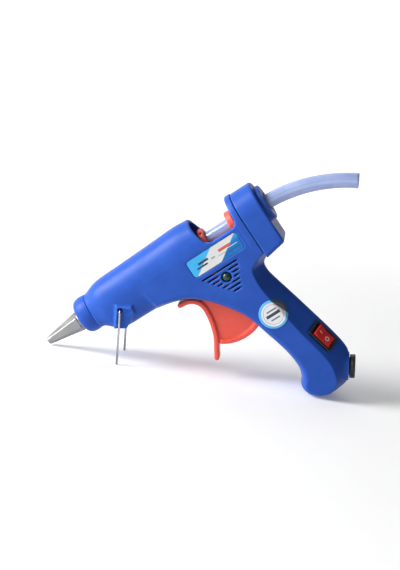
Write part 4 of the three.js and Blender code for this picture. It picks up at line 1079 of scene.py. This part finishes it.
# ---- housing screws, from the far side ----
screw = Field((-2.7, -7.3, -2.7), (2.7, 7.9, 2.7), 0.14)
screw.add(rod((0, -7, 0), (0, 6.2, 0), 1.05, 0.2))
screw.add(rod((0, 5.8, 0), (0, 7.6, 0), 2.4, 0.5), 0.1)
for x, z in ((1.5, 0.28), (0.28, 1.5)):  # the cross in the head
    screw.cut(box((-x, 6.7, -z), (x, 9, z)), 0.15)
vertices, quads = screw.surface()
# The screws' convex edges carry the painted edge highlight too.
edge_highlight_share = edge_convexity(vertices, quads)
for i, (x, z) in enumerate(SCREW_PLACES):
    mesh_object(f"shell_screw_{i + 1}", vertices + [x, 0, z], quads, f"housing_screw_{i + 1}", "screw_steel",
                edge=edge_highlight_share)

# ---- studio ----
CAMERA_DISTANCE = 0.68
target = to_row([75.8, 0, -16.0])
back = TURN @ [0.19159, -0.97295, 0.12911]
upwards = TURN @ [0.52356, 0.21258, 0.82504]
rightwards = np.cross(upwards, back)
camera_data = bpy.data.cameras.new("camera")
camera_data.lens = 92.34
camera_data.sensor_width = 36
camera = new_object("camera", camera_data)
camera.matrix_world = Matrix.Translation(Vector(target + CAMERA_DISTANCE * back)) @ Matrix(
    np.stack([rightwards, upwards, back], 1).tolist()).to_4x4()
bpy.context.scene.camera = camera

key = bpy.data.lights.new("key", "AREA")
key.shape = "DISK"
key.size = 0.5
key.energy = 11.3
key_light = new_object("key", key)
direction = Vector((-0.88, -0.27, 0.40)).normalized()
key_light.location = Vector(target) + direction * 0.8
key_light.rotation_euler = direction.to_track_quat("Z", "Y").to_euler()

world = bpy.data.worlds.new("studio")
world.use_nodes = True
background = world.node_tree.nodes["Background"]
background.inputs["Color"].default_value = (0.98, 0.99, 1, 1)
background.inputs["Strength"].default_value = 0.11
bpy.context.scene.world = world

# The paper glows away from the gun, except on the right, so that no edge of the gun mirrors a white wall.
sheet = Finish("floor_paper")
sheet.roughness(sheet.ramp(sheet.noise(60, 3), 0.3, 0.7, 0.75, 0.85))
place = sheet.node("ShaderNodeSeparateXYZ")
sheet.link(sheet.place, place.inputs[0])
floor_x, floor_y = place.outputs[0], place.outputs[1]
on_right = sheet.ramp(floor_x, 0.26, 0.6)
white = sheet.mix(sheet.noise(12, 3), (0.93, 0.93, 0.93), (0.96, 0.96, 0.96))
sheet.colour(sheet.mix(on_right, white, (0.22, 0.22, 0.22)))
glow = sheet.ramp(sheet.length(floor_x, floor_y), 0.12, 0.6, 0.15, 0.5)
glow = sheet.math("MULTIPLY", glow, sheet.math("MULTIPLY_ADD", on_right, -0.9, 1.0))
glow = sheet.math("MULTIPLY", glow, sheet.ramp(floor_y, -2.0, -0.9, 0.6, 1))
sheet.link(glow, sheet.shader.inputs["Emission Strength"])
sheet.constants(Emission_Color=(1, 1, 1, 1), Specular_IOR_Level=0.2)

# One sheet of paper lies on the bench and curves up behind the gun and far in front of it.
SWEEP_RADIUS, SWEEP_TOP, SWEEP_HALF = 0.4, 3.0, 4.0
curve = []
for start, way in ((-2.6, -1), (0.7, 1)):
    rise = arc((way * start, SWEEP_RADIUS), SWEEP_RADIUS, -90, 0, 16) * (way, 1)
    curve += [*rise, (start + way * SWEEP_RADIUS, SWEEP_TOP)][::way]
floor_mesh = bpy.data.meshes.new("floor")
floor_mesh.from_pydata(
    [(x, y, z) for y, z in curve for x in (-SWEEP_HALF, SWEEP_HALF)], [],
    [(2 * i, 2 * i + 1, 2 * i + 3, 2 * i + 2) for i in range(len(curve) - 1)])
floor_mesh.shade_smooth()
floor_mesh.materials.append(materials["floor_paper"])
floor = new_object("floor", floor_mesh)
bpy.context.scene.view_settings.view_transform = "Standard"
